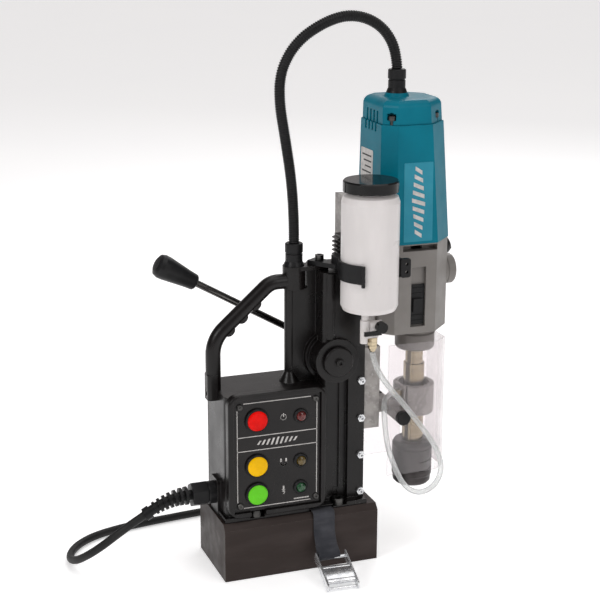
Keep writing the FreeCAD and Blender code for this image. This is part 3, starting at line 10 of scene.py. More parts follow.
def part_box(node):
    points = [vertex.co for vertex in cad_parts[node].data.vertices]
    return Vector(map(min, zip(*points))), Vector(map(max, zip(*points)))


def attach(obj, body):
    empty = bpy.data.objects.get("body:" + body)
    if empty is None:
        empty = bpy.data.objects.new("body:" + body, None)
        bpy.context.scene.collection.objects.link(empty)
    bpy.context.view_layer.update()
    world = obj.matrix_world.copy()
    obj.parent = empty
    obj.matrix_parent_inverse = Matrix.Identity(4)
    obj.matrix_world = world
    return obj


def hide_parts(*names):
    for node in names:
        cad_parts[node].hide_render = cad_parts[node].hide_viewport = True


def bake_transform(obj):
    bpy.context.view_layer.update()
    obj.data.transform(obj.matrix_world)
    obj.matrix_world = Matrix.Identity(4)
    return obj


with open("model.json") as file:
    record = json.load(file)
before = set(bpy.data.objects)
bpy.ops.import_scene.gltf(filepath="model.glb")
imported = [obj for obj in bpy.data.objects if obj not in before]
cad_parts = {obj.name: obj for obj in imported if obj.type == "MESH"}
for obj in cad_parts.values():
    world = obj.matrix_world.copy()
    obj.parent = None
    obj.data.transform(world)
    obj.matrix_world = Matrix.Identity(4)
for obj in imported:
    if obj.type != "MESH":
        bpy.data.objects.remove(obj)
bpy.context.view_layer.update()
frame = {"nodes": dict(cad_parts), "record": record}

# The looks of the magnetic drill press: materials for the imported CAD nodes, and mesh-built pieces for its
# cords, webbing, panel lines, ribs and labels. Lengths are metres, in the CAD's frame.

MM = 0.001


def mm(*values):
    """A point or list of lengths given in millimetres, in metres."""
    return tuple(value * MM for value in values)


# ---------------------------------------------------------------- materials

class Finish:
    """A node material built up step by step on one Principled shader."""

    def __init__(self, name, colour, roughness=0.5, metallic=0.0):
        self.material = bpy.data.materials.new(name)
        self.material.use_nodes = True
        self.tree = self.material.node_tree
        self.shader = self.tree.nodes["Principled BSDF"]
        self.set("Base Color", (*colour, 1))
        self.set("Roughness", roughness)
        self.set("Metallic", metallic)
        self.set("Specular IOR Level", 0.22)
        self.colour = colour
        self.roughness = roughness
        self.colour_socket = None
        self.roughness_socket = None
        self.normal_socket = None
        self.height_socket = None
        self.place = self.node("ShaderNodeTexCoord").outputs["Object"]

    def node(self, kind, **inputs):
        """A new node with its inputs set by name; a socket given as a value is linked."""
        made = self.tree.nodes.new(kind)
        for name, value in inputs.items():
            self.feed(made.inputs[name.replace("_", " ")], value)
        return made

    def feed(self, target, value):
        if isinstance(value, bpy.types.NodeSocket):
            self.tree.links.new(value, target)
        else:
            target.default_value = value

    def set(self, name, value):
        self.feed(self.shader.inputs[name], value)
        return self

    def stretched(self, scale):
        """Object coordinates multiplied by three factors, for grain that runs one way."""
        mapping = self.node("ShaderNodeMapping", Vector=self.place)
        mapping.inputs["Scale"].default_value = scale
        return mapping.outputs["Vector"]

    def noise(self, scale, detail=3.0, roughness=0.55, along=(1, 1, 1)):
        made = self.node("ShaderNodeTexNoise", Vector=self.stretched(along), Scale=scale, Detail=detail,
                         Roughness=roughness)
        return made.outputs["Fac"]

    def ramp(self, factor, low, high, at=(0.35, 0.65)):
        """A colour ramp between two colours or grey levels."""
        made = self.node("ShaderNodeValToRGB", Fac=factor)
        for element, position, value in zip(made.color_ramp.elements, at, (low, high)):
            element.position = position
            element.color = (*value, 1) if isinstance(value, tuple) else (value, value, value, 1)
        return made.outputs["Color"]

    def mix(self, factor, under, over):
        made = self.node("ShaderNodeMix")
        made.data_type = "RGBA"
        self.feed(made.inputs["Factor"], factor)
        self.feed(made.inputs["A"], under)
        self.feed(made.inputs["B"], over)
        return made.outputs["Result"]

    def current_colour(self):
        return self.colour_socket or (*self.colour, 1)

    def current_roughness(self):
        return self.roughness_socket or (self.roughness,) * 3 + (1,)

    def mottled(self, other, scale, at=(0.4, 0.62), detail=4.0, along=(1, 1, 1)):
        """Blends the colour with another one in soft patches."""
        factor = self.ramp(self.noise(scale, detail, along=along), 0.0, 1.0, at)
        self.colour_socket = self.mix(factor, self.current_colour(), (*other, 1))
        return self

    def rough_patches(self, low, high, scale, along=(1, 1, 1), at=(0.3, 0.7)):
        self.roughness_socket = self.ramp(self.noise(scale, along=along), low, high, at)
        return self

    def grain(self, scale, height, along=(1, 1, 1), detail=2.0):
        """Fine relief of the given height in metres."""
        self.add_height(self.noise(scale, detail, along=along), height)
        return self

    def pebbles(self, scale, height):
        """Small rounded cells, as on sparked moulds."""
        cells = self.node("ShaderNodeTexVoronoi", Vector=self.place, Scale=scale)
        self.add_height(cells.outputs["Distance"], height)
        return self

    def add_height(self, factor, height):
        scaled = self.node("ShaderNodeMath")
        scaled.operation = "MULTIPLY"
        self.feed(scaled.inputs[0], factor)
        scaled.inputs[1].default_value = height
        result = scaled.outputs[0]
        if self.height_socket is not None:
            total = self.node("ShaderNodeMath")
            total.operation = "ADD"
            self.feed(total.inputs[0], self.height_socket)
            self.feed(total.inputs[1], result)
            result = total.outputs[0]
        self.height_socket = result

    def softened(self, radius):
        """Edges that catch light as if they were rounded by that radius."""
        bevel = self.node("ShaderNodeBevel", Radius=radius)
        bevel.samples = 6
        self.normal_socket = bevel.outputs["Normal"]
        return self

    def rubbed_and_highlit_edges(self, colour, radius, strength=0.6, roughness=0.35):
        """A lighter colour along the edges, found where a rounded normal leaves the flat one: partly paint rubbed
        thin, partly a painted highlight.
        """
        bevel = self.node("ShaderNodeBevel", Radius=radius)
        bevel.samples = 6
        flat = self.node("ShaderNodeNewGeometry").outputs["Normal"]
        lean = self.node("ShaderNodeVectorMath")
        lean.operation = "DOT_PRODUCT"
        self.feed(lean.inputs[0], bevel.outputs["Normal"])
        self.feed(lean.inputs[1], flat)
        edge = self.ramp(lean.outputs["Value"], 1.0, 0.0, (0.86, 0.985))
        broken = self.ramp(self.noise(420, 4), 0.1, 1.0, (0.38, 0.66))
        amount = self.node("ShaderNodeMath")
        amount.operation = "MULTIPLY"
        self.feed(amount.inputs[0], edge)
        self.feed(amount.inputs[1], broken)
        softer = self.node("ShaderNodeMath")
        softer.operation = "MULTIPLY"
        self.feed(softer.inputs[0], amount.outputs[0])
        softer.inputs[1].default_value = strength
        self.colour_socket = self.mix(softer.outputs[0], self.current_colour(), (*colour, 1))
        self.roughness_socket = self.mix(softer.outputs[0], self.current_roughness(), (roughness,) * 3 + (1,))
        return self

    def ready(self):
        """Links what has been built to the shader and returns the material."""
        if self.colour_socket is not None:
            self.set("Base Color", self.colour_socket)
        if self.roughness_socket is not None:
            self.set("Roughness", self.roughness_socket)
        normal = self.normal_socket
        if self.height_socket is not None:
            bump = self.node("ShaderNodeBump", Height=self.height_socket, Distance=1.0)
            if normal is not None:
                self.feed(bump.inputs["Normal"], normal)
            normal = bump.outputs["Normal"]
        if normal is not None:
            self.set("Normal", normal)
        return self.material


def painted_black(name, level=0.0035, roughness=(0.24, 0.38)):
    """Satin black paint on a casting: faint orange peel, handled patches, edges a little rubbed and lightened with
    a painted highlight.
    """
    finish = Finish(name, (level * 1.25, level, level * 0.98), roughness[0])
    finish.mottled((level * 2.1, level * 1.7, level * 1.65), 26)
    finish.rough_patches(*roughness, 34)
    finish.softened(0.0011).rubbed_and_highlit_edges((0.05, 0.048, 0.046), 0.0013, 0.5, 0.3)
    finish.grain(900, 0.00005).grain(260, 0.00004)
    finish.set("Specular IOR Level", 0.3)
    return finish.ready()


def moulded(name, colour, roughness=(0.35, 0.5), grain=0.00004, scale=1300, lighter=1.35):
    """Moulded plastic with a fine sparked grain."""
    finish = Finish(name, colour, roughness[0])
    finish.mottled(tuple(channel * lighter for channel in colour), 45)
    finish.rough_patches(*roughness, 60)
    finish.softened(0.0006).pebbles(scale, grain)
    return finish.ready()


def glossy(name, colour, darker=0.75, coat=0.06, roughness=0.2):
    """Smooth shiny plastic, with a slightly deeper colour in soft patches."""
    finish = Finish(name, colour, roughness)
    finish.mottled(tuple(channel * darker for channel in colour), 55)
    finish.rough_patches(roughness, roughness + 0.1, 90)
    finish.softened(0.0005).grain(700, 0.00001)
    finish.set("Coat Weight", coat).set("Coat Roughness", 0.06).set("Specular IOR Level", 0.1)
    return finish.ready()


def machined(name, colour, roughness=(0.22, 0.4), along=(1, 1, 14), other=None, grain=0.00002):
    """Turned or ground metal with fine lines across the given direction."""
    finish = Finish(name, colour, roughness[0], 1.0)
    finish.mottled(other or tuple(channel * 0.72 for channel in colour), 60, along=along)
    finish.rough_patches(*roughness, 120, along)
    finish.softened(0.0004).grain(500, grain, along)
    return finish.ready()


def base_steel():
    """The magnet's blackened steel: brown tint, mill grain along X, and edges lighter, partly rubbed and partly a
    painted highlight.
    """
    finish = Finish("blackened_steel", (0.03, 0.021, 0.0185), 0.45, 0.2)
    finish.mottled((0.046, 0.034, 0.031), 40, (0.42, 0.7), along=(0.25, 1, 1))
    finish.rough_patches(0.36, 0.55, 50, (0.3, 1, 1))
    finish.softened(0.0008).rubbed_and_highlit_edges((0.16, 0.14, 0.12), 0.001, 0.7)
    finish.grain(700, 0.00005, (0.12, 1, 1)).grain(150, 0.00005)
    return finish.ready()


def galvanised():
    """Cast and plated slide: light grey with darker blotches."""
    finish = Finish("galvanised", (0.36, 0.34, 0.325), 0.45, 0.25)
    finish.mottled((0.27, 0.255, 0.245), 75, (0.42, 0.6), 6)
    finish.mottled((0.44, 0.42, 0.405), 210, (0.55, 0.7), 5)
    finish.rough_patches(0.32, 0.6, 90)
    finish.softened(0.0007).grain(260, 0.00012).grain(900, 0.00005)
    return finish.ready()


def grey_casting():
    """Warm grey gear case: silver-grey paint on a fine cast skin."""
    finish = Finish("grey_paint", (0.205, 0.192, 0.18), 0.42, 0.15)
    finish.mottled((0.225, 0.212, 0.2), 32)
    finish.rough_patches(0.34, 0.5, 50)
    # Lighter edges: partly rubbed paint, partly a painted highlight.
    finish.softened(0.0012).rubbed_and_highlit_edges((0.42, 0.4, 0.385), 0.001, 0.5)
    finish.grain(800, 0.00006).grain(240, 0.00005)
    return finish.ready()


def teal_shell():
    """The motor's blue-green moulding: smooth satin with a light grain."""
    finish = Finish("teal_moulding", (0.0, 0.15, 0.215), 0.34)
    finish.mottled((0.0, 0.17, 0.24), 22)
    finish.rough_patches(0.3, 0.42, 40)
    finish.softened(0.0014).pebbles(1500, 0.00003)
    finish.set("Specular IOR Level", 0.12)
    return finish.ready()


def milky():
    """The bottle's translucent white plastic with faint moulding ripples."""
    finish = Finish("milky_plastic", (0.76, 0.725, 0.715), 0.34)
    finish.mottled((0.7, 0.67, 0.66), 24, along=(1, 1, 0.3))
    finish.rough_patches(0.26, 0.42, 30)
    finish.softened(0.0008).grain(120, 0.00008, (1, 1, 0.35)).grain(900, 0.00002)
    finish.set("Subsurface Weight", 0.2).set("Subsurface Radius", (0.012, 0.012, 0.011))
    finish.set("Subsurface Scale", 0.4)
    return finish.ready()


def seen_through(finish, tint, edge_blend, solid_share, at):
    """Mixes the finish with plain transparency, clearest where the surface faces the eye."""
    clear = finish.node("ShaderNodeBsdfTransparent", Color=(*tint, 1))
    facing = finish.node("ShaderNodeLayerWeight", Blend=edge_blend)
    share = finish.ramp(facing.outputs["Facing"], *solid_share, at)
    blend = finish.node("ShaderNodeMixShader")
    material = finish.ready()
    for target, source in zip(blend.inputs, (share, clear.outputs[0], finish.shader.outputs[0])):
        finish.feed(target, source)
    finish.feed(finish.tree.nodes["Material Output"].inputs["Surface"], blend.outputs[0])
    return material


def clear_sheet():
    """The guard's clear plastic: nearly invisible panes whose edges show."""
    finish = Finish("clear_sheet", (0.985, 0.97, 0.975), 0.06)
    finish.mottled((0.95, 0.93, 0.945), 18)
    finish.rough_patches(0.03, 0.1, 70)
    finish.grain(300, 0.00002)
    finish.set("Transmission Weight", 0.3).set("IOR", 1.45)
    return seen_through(finish, (0.975, 0.96, 0.965), 0.32, (0.1, 0.8), (0.25, 0.98))


def clear_hose():
    """Soft clear hose with a bright wall and a milky core of coolant film."""
    finish = Finish("clear_hose", (0.86, 0.875, 0.87), 0.12)
    finish.mottled((0.7, 0.72, 0.715), 60)
    finish.rough_patches(0.08, 0.2, 80)
    finish.grain(400, 0.00002)
    finish.set("Transmission Weight", 0.35).set("IOR", 1.38).set("Coat Weight", 0.5)
    return seen_through(finish, (0.97, 0.975, 0.975), 0.4, (0.42, 1.0), (0.15, 0.85))


def webbing():
    """Slate-grey ribbed webbing: fibres across the strap, a soft sheen and faint soiling."""
    finish = Finish("slate_webbing", (0.04, 0.041, 0.049), 0.8)
    finish.mottled((0.062, 0.064, 0.074), 150, (0.35, 0.7), along=(0.2, 1, 1))
    finish.mottled((0.03, 0.032, 0.039), 35)
    finish.rough_patches(0.7, 0.95, 90)
    finish.grain(1800, 0.00016, (0.25, 1, 1)).grain(420, 0.00022, (0.15, 1, 1))
    finish.set("Sheen Weight", 0.12).set("Sheen Roughness", 0.5)
    return finish.ready()


def zinc():
    """Bright zinc plating with spangle, for the buckle and the set screws."""
    finish = Finish("bright_zinc", (0.8, 0.81, 0.82), 0.26, 0.85)
    finish.mottled((0.62, 0.63, 0.65), 160, (0.42, 0.62), 5)
    finish.rough_patches(0.14, 0.34, 140)
    finish.softened(0.0005).grain(700, 0.00003)
    return finish.ready()


def floor_paper():
    """The pale studio sheet under the object."""
    finish = Finish("pale_floor", (0.93, 0.93, 0.93), 0.85)
    finish.mottled((0.915, 0.915, 0.92), 2)
    finish.rough_patches(0.75, 0.9, 6)
    finish.set("Specular IOR Level", 0.1).set("Emission Color", (1, 1, 1, 1)).set("Emission Strength", 0.45)
    return finish.ready()


MATERIALS = {
    "base_steel": base_steel(),
    "black_casting": painted_black("satin_black_paint"),
    "panel_black": painted_black("panel_black", 0.004, (0.24, 0.36)),
    "black_plastic": moulded("black_moulding", (0.008, 0.008, 0.0085), (0.3, 0.45)),
    "red_plastic": glossy("red_gloss", (0.86, 0.003, 0.001)),
    "yellow_plastic": glossy("yellow_gloss", (1.0, 0.56, 0.0), 0.85),
    "green_plastic": glossy("green_gloss", (0.15, 0.72, 0.025), 0.85),
    "coil_copper": machined("enamelled_copper", (0.66, 0.32, 0.18)),
    "potting_resin": moulded("cast_resin", (0.1, 0.1, 0.1)),
    "board_green": moulded("solder_mask", (0.03, 0.2, 0.08)),
    "bright_steel": machined("bright_steel", (0.6, 0.6, 0.6)),
    "dark_steel": machined("oiled_steel", (0.09, 0.088, 0.085), (0.28, 0.45), (1, 1, 4)),
    "zinc_plate": zinc(),
    "galvanised": galvanised(),
    "grey_casting": grey_casting(),
    "teal_plastic": teal_shell(),
    "laminations": machined("laminations", (0.25, 0.24, 0.23)),
    "spindle_steel": machined("straw_tinted_steel", (0.36, 0.3, 0.2), (0.16, 0.28), (1, 1, 10)),
    "collar_grey": machined("dark_grey_steel", (0.075, 0.068, 0.068), (0.34, 0.5), (1, 1, 3)),
    "clear_sheet": clear_sheet(),
    "clear_hose": clear_hose(),
    "milky_plastic": milky(),
    "cap_black": glossy("gloss_black", (0.005, 0.005, 0.005), 1.6, 0.3, 0.1),
    "brass_fitting": machined("nickel_brass", (0.62, 0.52, 0.36), (0.2, 0.35)),
    "lever_steel": machined("dark_polished_steel", (0.12, 0.115, 0.11), (0.18, 0.3), (1, 1, 1)),
    "cord_rubber": moulded("cord_rubber", (0.014, 0.014, 0.014), (0.45, 0.6), 0.00006, 900),
    "webbing": webbing(),
}


def lamp_lens(name, colour):
    """A domed lens over an unlit lamp: deep colour with a brighter middle."""
    finish = Finish(name, colour, 0.12)
    finish.mottled(tuple(min(1.0, channel * 2.2 + 0.02) for channel in colour), 240)
    finish.rough_patches(0.08, 0.18, 90)
    finish.pebbles(900, 0.00008)
    finish.set("Coat Weight", 0.5).set("Transmission Weight", 0.1)
    return finish.ready()


LAMPS = [
    lamp_lens("red_lens", (0.07, 0.006, 0.005)),
    lamp_lens("amber_lens", (0.055, 0.035, 0.004)),
    lamp_lens("green_lens", (0.004, 0.04, 0.012)),
]


def dress(obj, material):
    """Gives an object one material."""
    obj.data.materials.clear()
    obj.data.materials.append(material)
    return obj


def dress_cad():
    """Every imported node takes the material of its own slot."""
    for part in frame["record"]["subparts"]:
        slot = part["material_slot"]
        if slot in MATERIALS:
            dress(frame["nodes"][part["node"]], MATERIALS[slot])


dress_cad()


def dress_lamps():
    """The three lamps differ in colour by their height."""
    lamps = frame["nodes"]["indicator_lamps"]
    lamps.data.materials.clear()
    for material in reversed(LAMPS):
        lamps.data.materials.append(material)
    low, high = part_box("indicator_lamps")
    for face in lamps.data.polygons:
        share = (face.center.z - low.z) / (high.z - low.z)
        face.material_index = min(2, int(share * 3))


dress_lamps()

# ---------------------------------------------------------------- mesh helpers


def mesh_object(name, points, faces, material, smooth=True):
    data = bpy.data.meshes.new(name)
    data.from_pydata([tuple(point) for point in points], [], faces)
    data.validate()
    made = bpy.data.objects.new(name, data)
    bpy.context.scene.collection.objects.link(made)
    if smooth:
        data.shade_smooth()
    return dress(made, material)


def nurbs_curve(name, points, radius=0.0):
    """A curve of one NURBS spline with these control points, round if it has a radius."""
    data = bpy.data.curves.new(name, "CURVE")
    data.dimensions = "3D"
    line = data.splines.new("NURBS")
    line.points.add(len(points) - 1)
    for control, place in zip(line.points, points):
        control.co = (*place, 1)
    line.order_u = 3
    line.use_endpoint_u = True
    line.resolution_u = 10
    data.bevel_depth = radius
    data.bevel_resolution = 6
    data.use_fill_caps = radius > 0
    made = bpy.data.objects.new(name, data)
    bpy.context.scene.collection.objects.link(made)
    return made


def line_of(points):
    """The smooth line of the NURBS spline with these control points, as points a few mm apart."""
    curve = nurbs_curve("guide_line", points)
    line = bpy.data.meshes.new_from_object(curve)
    places = [vertex.co.copy() for vertex in line.vertices]
    bpy.data.meshes.remove(line)
    bpy.data.objects.remove(curve)
    return places


def evenly(line, step):
    """Points on a line about one step apart."""
    total = sum((b - a).length for a, b in zip(line, line[1:]))
    count = max(2, round(total / step))
    places, walked, index = [], 0.0, 0
    for number in range(count + 1):
        wanted = total * number / count
        while index < len(line) - 2 and walked + (line[index + 1] - line[index]).length < wanted:
            walked += (line[index + 1] - line[index]).length
            index += 1
        run = line[index + 1] - line[index]
        share = min(1.0, (wanted - walked) / max(run.length, 1e-9))
        places.append(line[index] + run * share)
    return places


def carried_frames(line):
    """A sideways vector at each point of a line that turns as little as it can."""
    ways = [(line[min(i + 1, len(line) - 1)] - line[max(i - 1, 0)]).normalized() for i in range(len(line))]
    side = ways[0].orthogonal().normalized()
    sides = []
    for way in ways:
        side = (side - way * side.dot(way)).normalized()
        sides.append(side)
    return ways, sides


def swept_tube(name, line, radii, material, around=20):
    """A closed round tube along a line whose radius at each point is given."""
    ways, sides = carried_frames(line)
    points, faces = [], []
    for centre, way, side, radius in zip(line, ways, sides, radii):
        across = way.cross(side)
        for step in range(around):
            angle = math.tau * step / around
            points.append(centre + (side * math.cos(angle) + across * math.sin(angle)) * radius)
    for ring in range(len(line) - 1):
        for step in range(around):
            low, high = ring * around, (ring + 1) * around
            after = (step + 1) % around
            faces.append((low + step, low + after, high + after, high + step))
    faces.append(tuple(reversed(range(around))))
    faces.append(tuple(range(len(points) - around, len(points))))
    return mesh_object(name, points, faces, material)


# ---------------------------------------------------------------- camera

CAMERA_PLACE = mm(-525.62, -1457.11, 736.05)
VIEW_RIGHT = Vector((0.93813, -0.34628, 0.00291))
VIEW_UP = Vector((0.09105, 0.25477, 0.96271))
VIEW_WAY = Vector((0.33411, 0.90287, -0.27053))


def add_camera():
    data = bpy.data.cameras.new("photo_camera")
    data.sensor_width = 36
    data.lens = 88.467
    made = bpy.data.objects.new("photo_camera", data)
    bpy.context.scene.collection.objects.link(made)
    turn = Matrix((VIEW_RIGHT, VIEW_UP, -VIEW_WAY)).transposed().to_4x4()
    made.matrix_world = Matrix.Translation(CAMERA_PLACE) @ turn
    data.clip_start, data.clip_end = 0.05, 60
    bpy.context.scene.camera = made


add_camera()

# ---------------------------------------------------------------- cords

CORD = 9 * MM
FLOOR_CORD = 4.6
COIL_X, COIL_Y = 84, 208
COIL_TURNS = (63, 54, 45, 36)
POINTS_PER_TURN = 14
PLUG_TAIL = (COIL_X - 36, COIL_Y + 7, 36.1)

POWER_ROUTE = [
    (-168, -2, 72.5), (-183, -2, 64.2), (-199, 0, 53), (-215, 6, 39), (-229, 17, 25.5), (-238, 33, 14),
    (-241, 53, 7), (-236, 75, FLOOR_CORD), (-222, 95, FLOOR_CORD), (-199, 111, FLOOR_CORD),
    (-168, 121, FLOOR_CORD), (-132, 127, FLOOR_CORD), (-94, 131, FLOOR_CORD), (-56, 134.5, FLOOR_CORD),
    (-18, 137, FLOOR_CORD), (16, 138.5, FLOOR_CORD), (44, 138.3, FLOOR_CORD), (71.5, 137, FLOOR_CORD),
]


def coil_points():
    """Eight neat turns: four inwards on the floor, four outwards on top, then up to the plug."""
    points = []
    start = math.radians(-86)
    order = [*COIL_TURNS, *reversed(COIL_TURNS)]
    total = len(order) * POINTS_PER_TURN
    for number in range(total):
        turn = number / POINTS_PER_TURN
        index = min(int(turn), len(order) - 1)
        after = min(index + 1, len(order) - 1)
        share = max(0.0, (turn - index - 0.72) / 0.28)
        radius = order[index] + (order[after] - order[index]) * share
        if index == 3:
            height = 4.7 + 8.7 * share
        else:
            height = 4.7 if index < 3 else 13.4
        angle = start + math.tau * turn
        points.append((COIL_X + radius * math.cos(angle), COIL_Y + radius * math.sin(angle), height))
    return points


def rise_to_plug():
    """The last half turn climbs over the coil, inwards, to the tail of the plug."""
    points = []
    climb = ((-60, 63, 14), (-34, 61.5, 16), (-8, 58, 20), (20, 53, 24.5), (50, 48, 29), (82, 43.5, 32.5),
             (112, 39.8, 35), (142, 37.2, 36))
    for degrees, radius, height in climb:
        angle = math.radians(degrees)
        points.append((COIL_X + radius * math.cos(angle), COIL_Y + radius * math.sin(angle), height))
    return points + [(PLUG_TAIL[0] + 0.3, PLUG_TAIL[1] + 9, 36.1), PLUG_TAIL]


def power_cord():
    route = [mm(*point) for point in [*POWER_ROUTE, *coil_points(), *rise_to_plug()]]
    cord = nurbs_curve("mains_cord", route, CORD / 2)
    dress(cord, MATERIALS["cord_rubber"])
    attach(cord, "stand")
    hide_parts("power_cord", "cord_coil")
    return cord


power_cord()

CONDUIT_ROUTE = [
    (6.4, 0, 364.5), (6.4, 0, 388), (3.6, 0, 432), (-3.6, 0, 478), (-10.5, 0, 518), (-9, 0, 550),
    (7.5, 0, 578), (34, 0, 596), (62, 0, 605.5), (86, 0, 603), (106, 0, 592), (118.5, 0, 575),
    (123.2, 0, 557), (124, 0, 547.6),
]
CONDUIT_WIDTH = 12 * MM


def conduit():
    """Corrugated sleeve: fine rings all along it, bending between the casting and the motor cap."""
    route = [mm(*point) for point in CONDUIT_ROUTE]
    rib, steps = 2.6 * MM, 5
    line = evenly(line_of(route), rib / steps)
    outer, inner = CONDUIT_WIDTH / 2, CONDUIT_WIDTH / 2 - 1.0 * MM
    shape = (inner, outer - 0.2 * MM, outer, outer - 0.2 * MM, inner)
    radii = [shape[number % steps] for number in range(len(line))]
    tube = swept_tube("corrugated_conduit", line, radii, MATERIALS["black_plastic"], 24)
    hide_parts("conduit")
    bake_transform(tube)


conduit()

HOSE_ROUTE = [
    (74.7, -60.5, 251.3), (76.5, -60.3, 241), (85, -60, 223), (99, -59.5, 204), (116, -59, 184),
    (132, -58, 163), (148, -56.5, 142), (160.5, -55, 121), (166, -53.5, 99), (158, -52, 80),
    (140, -50, 72.5), (123, -48, 82), (111.5, -46.5, 104), (103, -45, 128), (100, -42.5, 149),
    (100.3, -37.5, 167), (103.5, -28.5, 178.5), (110.6, -19.5, 182.8), (119.6, -11.4, 182),
]
HOSE_WIDTH = 6 * MM


def coolant_hose():
    """Clear hose from the bottle's tap, round in front of the guard, to the inlet on the ring."""
    route = [mm(*point) for point in HOSE_ROUTE]
    line = evenly(line_of(route), 2 * MM)
    tube = swept_tube("clear_coolant_hose", line, [HOSE_WIDTH / 2] * len(line), MATERIALS["clear_hose"],
                      20)
    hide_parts("coolant_hose")
    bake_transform(tube)


coolant_hose()

# ---------------------------------------------------------------- webbing strap

STRAP_X = 25
STRAP_WIDTH, STRAP_THICK = 25, 1.4
FOLD_COUNT, FOLD_PITCH = 14, 1.78
FOLD_NEAR, FOLD_FAR = 65, 128


def strap_route():
    """The strap's middle line as (Y, Z): a sewn loop round the buckle's bar, up over the base through the
    casting's slot, down the far side, and its spare length folded to and fro beside the base."""
    points = [
        (-54.6, 29.8), (-59.4, 24), (-61.4, 18.8), (-64.8, 16.8), (-67.9, 19.6), (-66.8, 23.4), (-62, 26.8),
        (-56, 30.5), (-50.3, 40), (-48.9, 50), (-48.9, 60), (-47.6, 66.6), (-41, 67.4), (-20, 67.4),
        (0, 67.4), (20, 67.4), (41, 67.4), (47.6, 66.6), (48.9, 60), (48.9, 40), (48.9, 14), (51.8, 4.6), (59, 1.7),
    ]
    wander = random.Random(7)
    for layer in range(FOLD_COUNT):
        height = 1.2 + FOLD_PITCH * layer
        near = FOLD_NEAR + wander.uniform(-1.6, 1.6)
        far = FOLD_FAR + wander.uniform(-1.6, 1.6)
        ends = (near, far) if layer % 2 == 0 else (far, near)
        way = 1 if ends[1] > ends[0] else -1
        points += [(ends[0] + way * 3, height), (sum(ends) / 2, height + 0.1), (ends[1] - way * 3, height)]
        if layer < FOLD_COUNT - 1:
            points += [(ends[1], height + 0.1), (ends[1] + way * 0.7, height + FOLD_PITCH / 2),
                       (ends[1], height + FOLD_PITCH - 0.1)]
    return points


def strap():
    """Woven webbing: a flat band with cross ribs and thicker edges."""
    line = evenly(line_of([mm(STRAP_X, y, z) for y, z in strap_route()]), 0.9 * MM)
    half = STRAP_WIDTH / 2
    edge_points = [-half, -half + 0.5, -half + 2, -half + 3] + [x * 1.0 for x in (-6, 0, 6)]
    edge_points += [half - 3, half - 2, half - 0.5, half]
    points, faces = [], []
    for number, place in enumerate(line):
        way = (line[min(number + 1, len(line) - 1)] - line[max(number - 1, 0)]).normalized()
        out = Vector((0, -way.z, way.y))
        rib = 0.09 if number % 2 else -0.09
        top, bottom = [], []
        for x in edge_points:
            selvedge = 0.1 if abs(x) > half - 2.5 else 0.0
            reach = (STRAP_THICK / 2 + rib + selvedge) if abs(x) < half else STRAP_THICK * 0.2
            across = Vector((x * MM, 0, 0))
            top.append(place + across + out * reach * MM)
            bottom.append(place + across - out * reach * MM)
        points += top + bottom[::-1]
    ring = 2 * len(edge_points)
    for number in range(len(line) - 1):
        for step in range(ring):
            low, high = number * ring, (number + 1) * ring
            after = (step + 1) % ring
            faces.append((low + step, low + after, high + after, high + step))
    faces.append(tuple(reversed(range(ring))))
    faces.append(tuple(range(len(points) - ring, len(points))))
    band = mesh_object("webbing_strap", points, faces, MATERIALS["webbing"])
    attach(band, "stand")
    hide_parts("safety_strap")


strap()

# ---------------------------------------------------------------- painted marks and labels


def decal(name, outlines, surface, material, height=0.15):
    """Thin raised shapes on a surface. An outline is (u, v) points, and surface(u, v, out) gives its place
    in millimetres."""
    points, faces = [], []
    for outline in outlines:
        first = len(points)
        count = len(outline)
        for out in (0.02, height):
            points += [mm(*surface(u, v, out)) for u, v in outline]
        faces.append(tuple(first + count + i for i in range(count)))
        faces.append(tuple(first + i for i in reversed(range(count))))
        for i in range(count):
            after = (i + 1) % count
            faces.append((first + i, first + after, first + count + after, first + count + i))
    made = mesh_object(name, points, faces, material, smooth=False)
    shape = bmesh.new()
    shape.from_mesh(made.data)
    bmesh.ops.recalc_face_normals(shape, faces=shape.faces)
    shape.to_mesh(made.data)
    shape.free()
    return made


def stroke(points, width):
    """The outlines of a line of even width through points, one four-sided piece a run."""
    outlines = []
    for (u0, v0), (u1, v1) in zip(points, points[1:]):
        length = math.hypot(u1 - u0, v1 - v0)
        du, dv = (u1 - u0) / length * width / 2, (v1 - v0) / length * width / 2
        outlines.append([(u0 - du - dv, v0 - dv + du), (u0 - du + dv, v0 - dv - du),
                         (u1 + du + dv, v1 + dv - du), (u1 + du - dv, v1 + dv + du)])
    return outlines


def arc(centre, radius, start, end, steps=14):
    """Points on an arc, angles in degrees."""
    u, v = centre
    angles = [math.radians(start + (end - start) * step / steps) for step in range(steps + 1)]
    return [(u + radius * math.cos(a), v + radius * math.sin(a)) for a in angles]


def slanted_bars(centre, count, pitch, width, height, lean, upright=False):
    """A generic mark: a row of leaning bars, along U or along V."""
    u, v = centre
    outlines = []
    for number in range(count):
        step = (number - (count - 1) / 2) * pitch
        size = height * (1 - 0.12 * abs(number - (count - 1) / 2))
        corners = [(-width / 2 - lean, -size / 2), (width / 2 - lean, -size / 2),
                   (width / 2 + lean, size / 2), (-width / 2 + lean, size / 2)]
        if upright:
            outlines.append([(u + b, v + step - a) for a, b in corners])
        else:
            outlines.append([(u + step + a, v + b) for a, b in corners])
    return outlines


def white_ink():
    """Screen-printed off-white ink."""
    finish = Finish("white_ink", (0.62, 0.6, 0.58), 0.5)
    finish.mottled((0.5, 0.485, 0.47), 160)
    finish.rough_patches(0.4, 0.6, 200)
    finish.grain(900, 0.00002)
    return finish.ready()


WHITE_INK = white_ink()
MIDDLE = {name: [(a + b) / 2 / MM for a, b in zip(*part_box(name))]
          for name in ("red_button", "yellow_button", "green_button")}


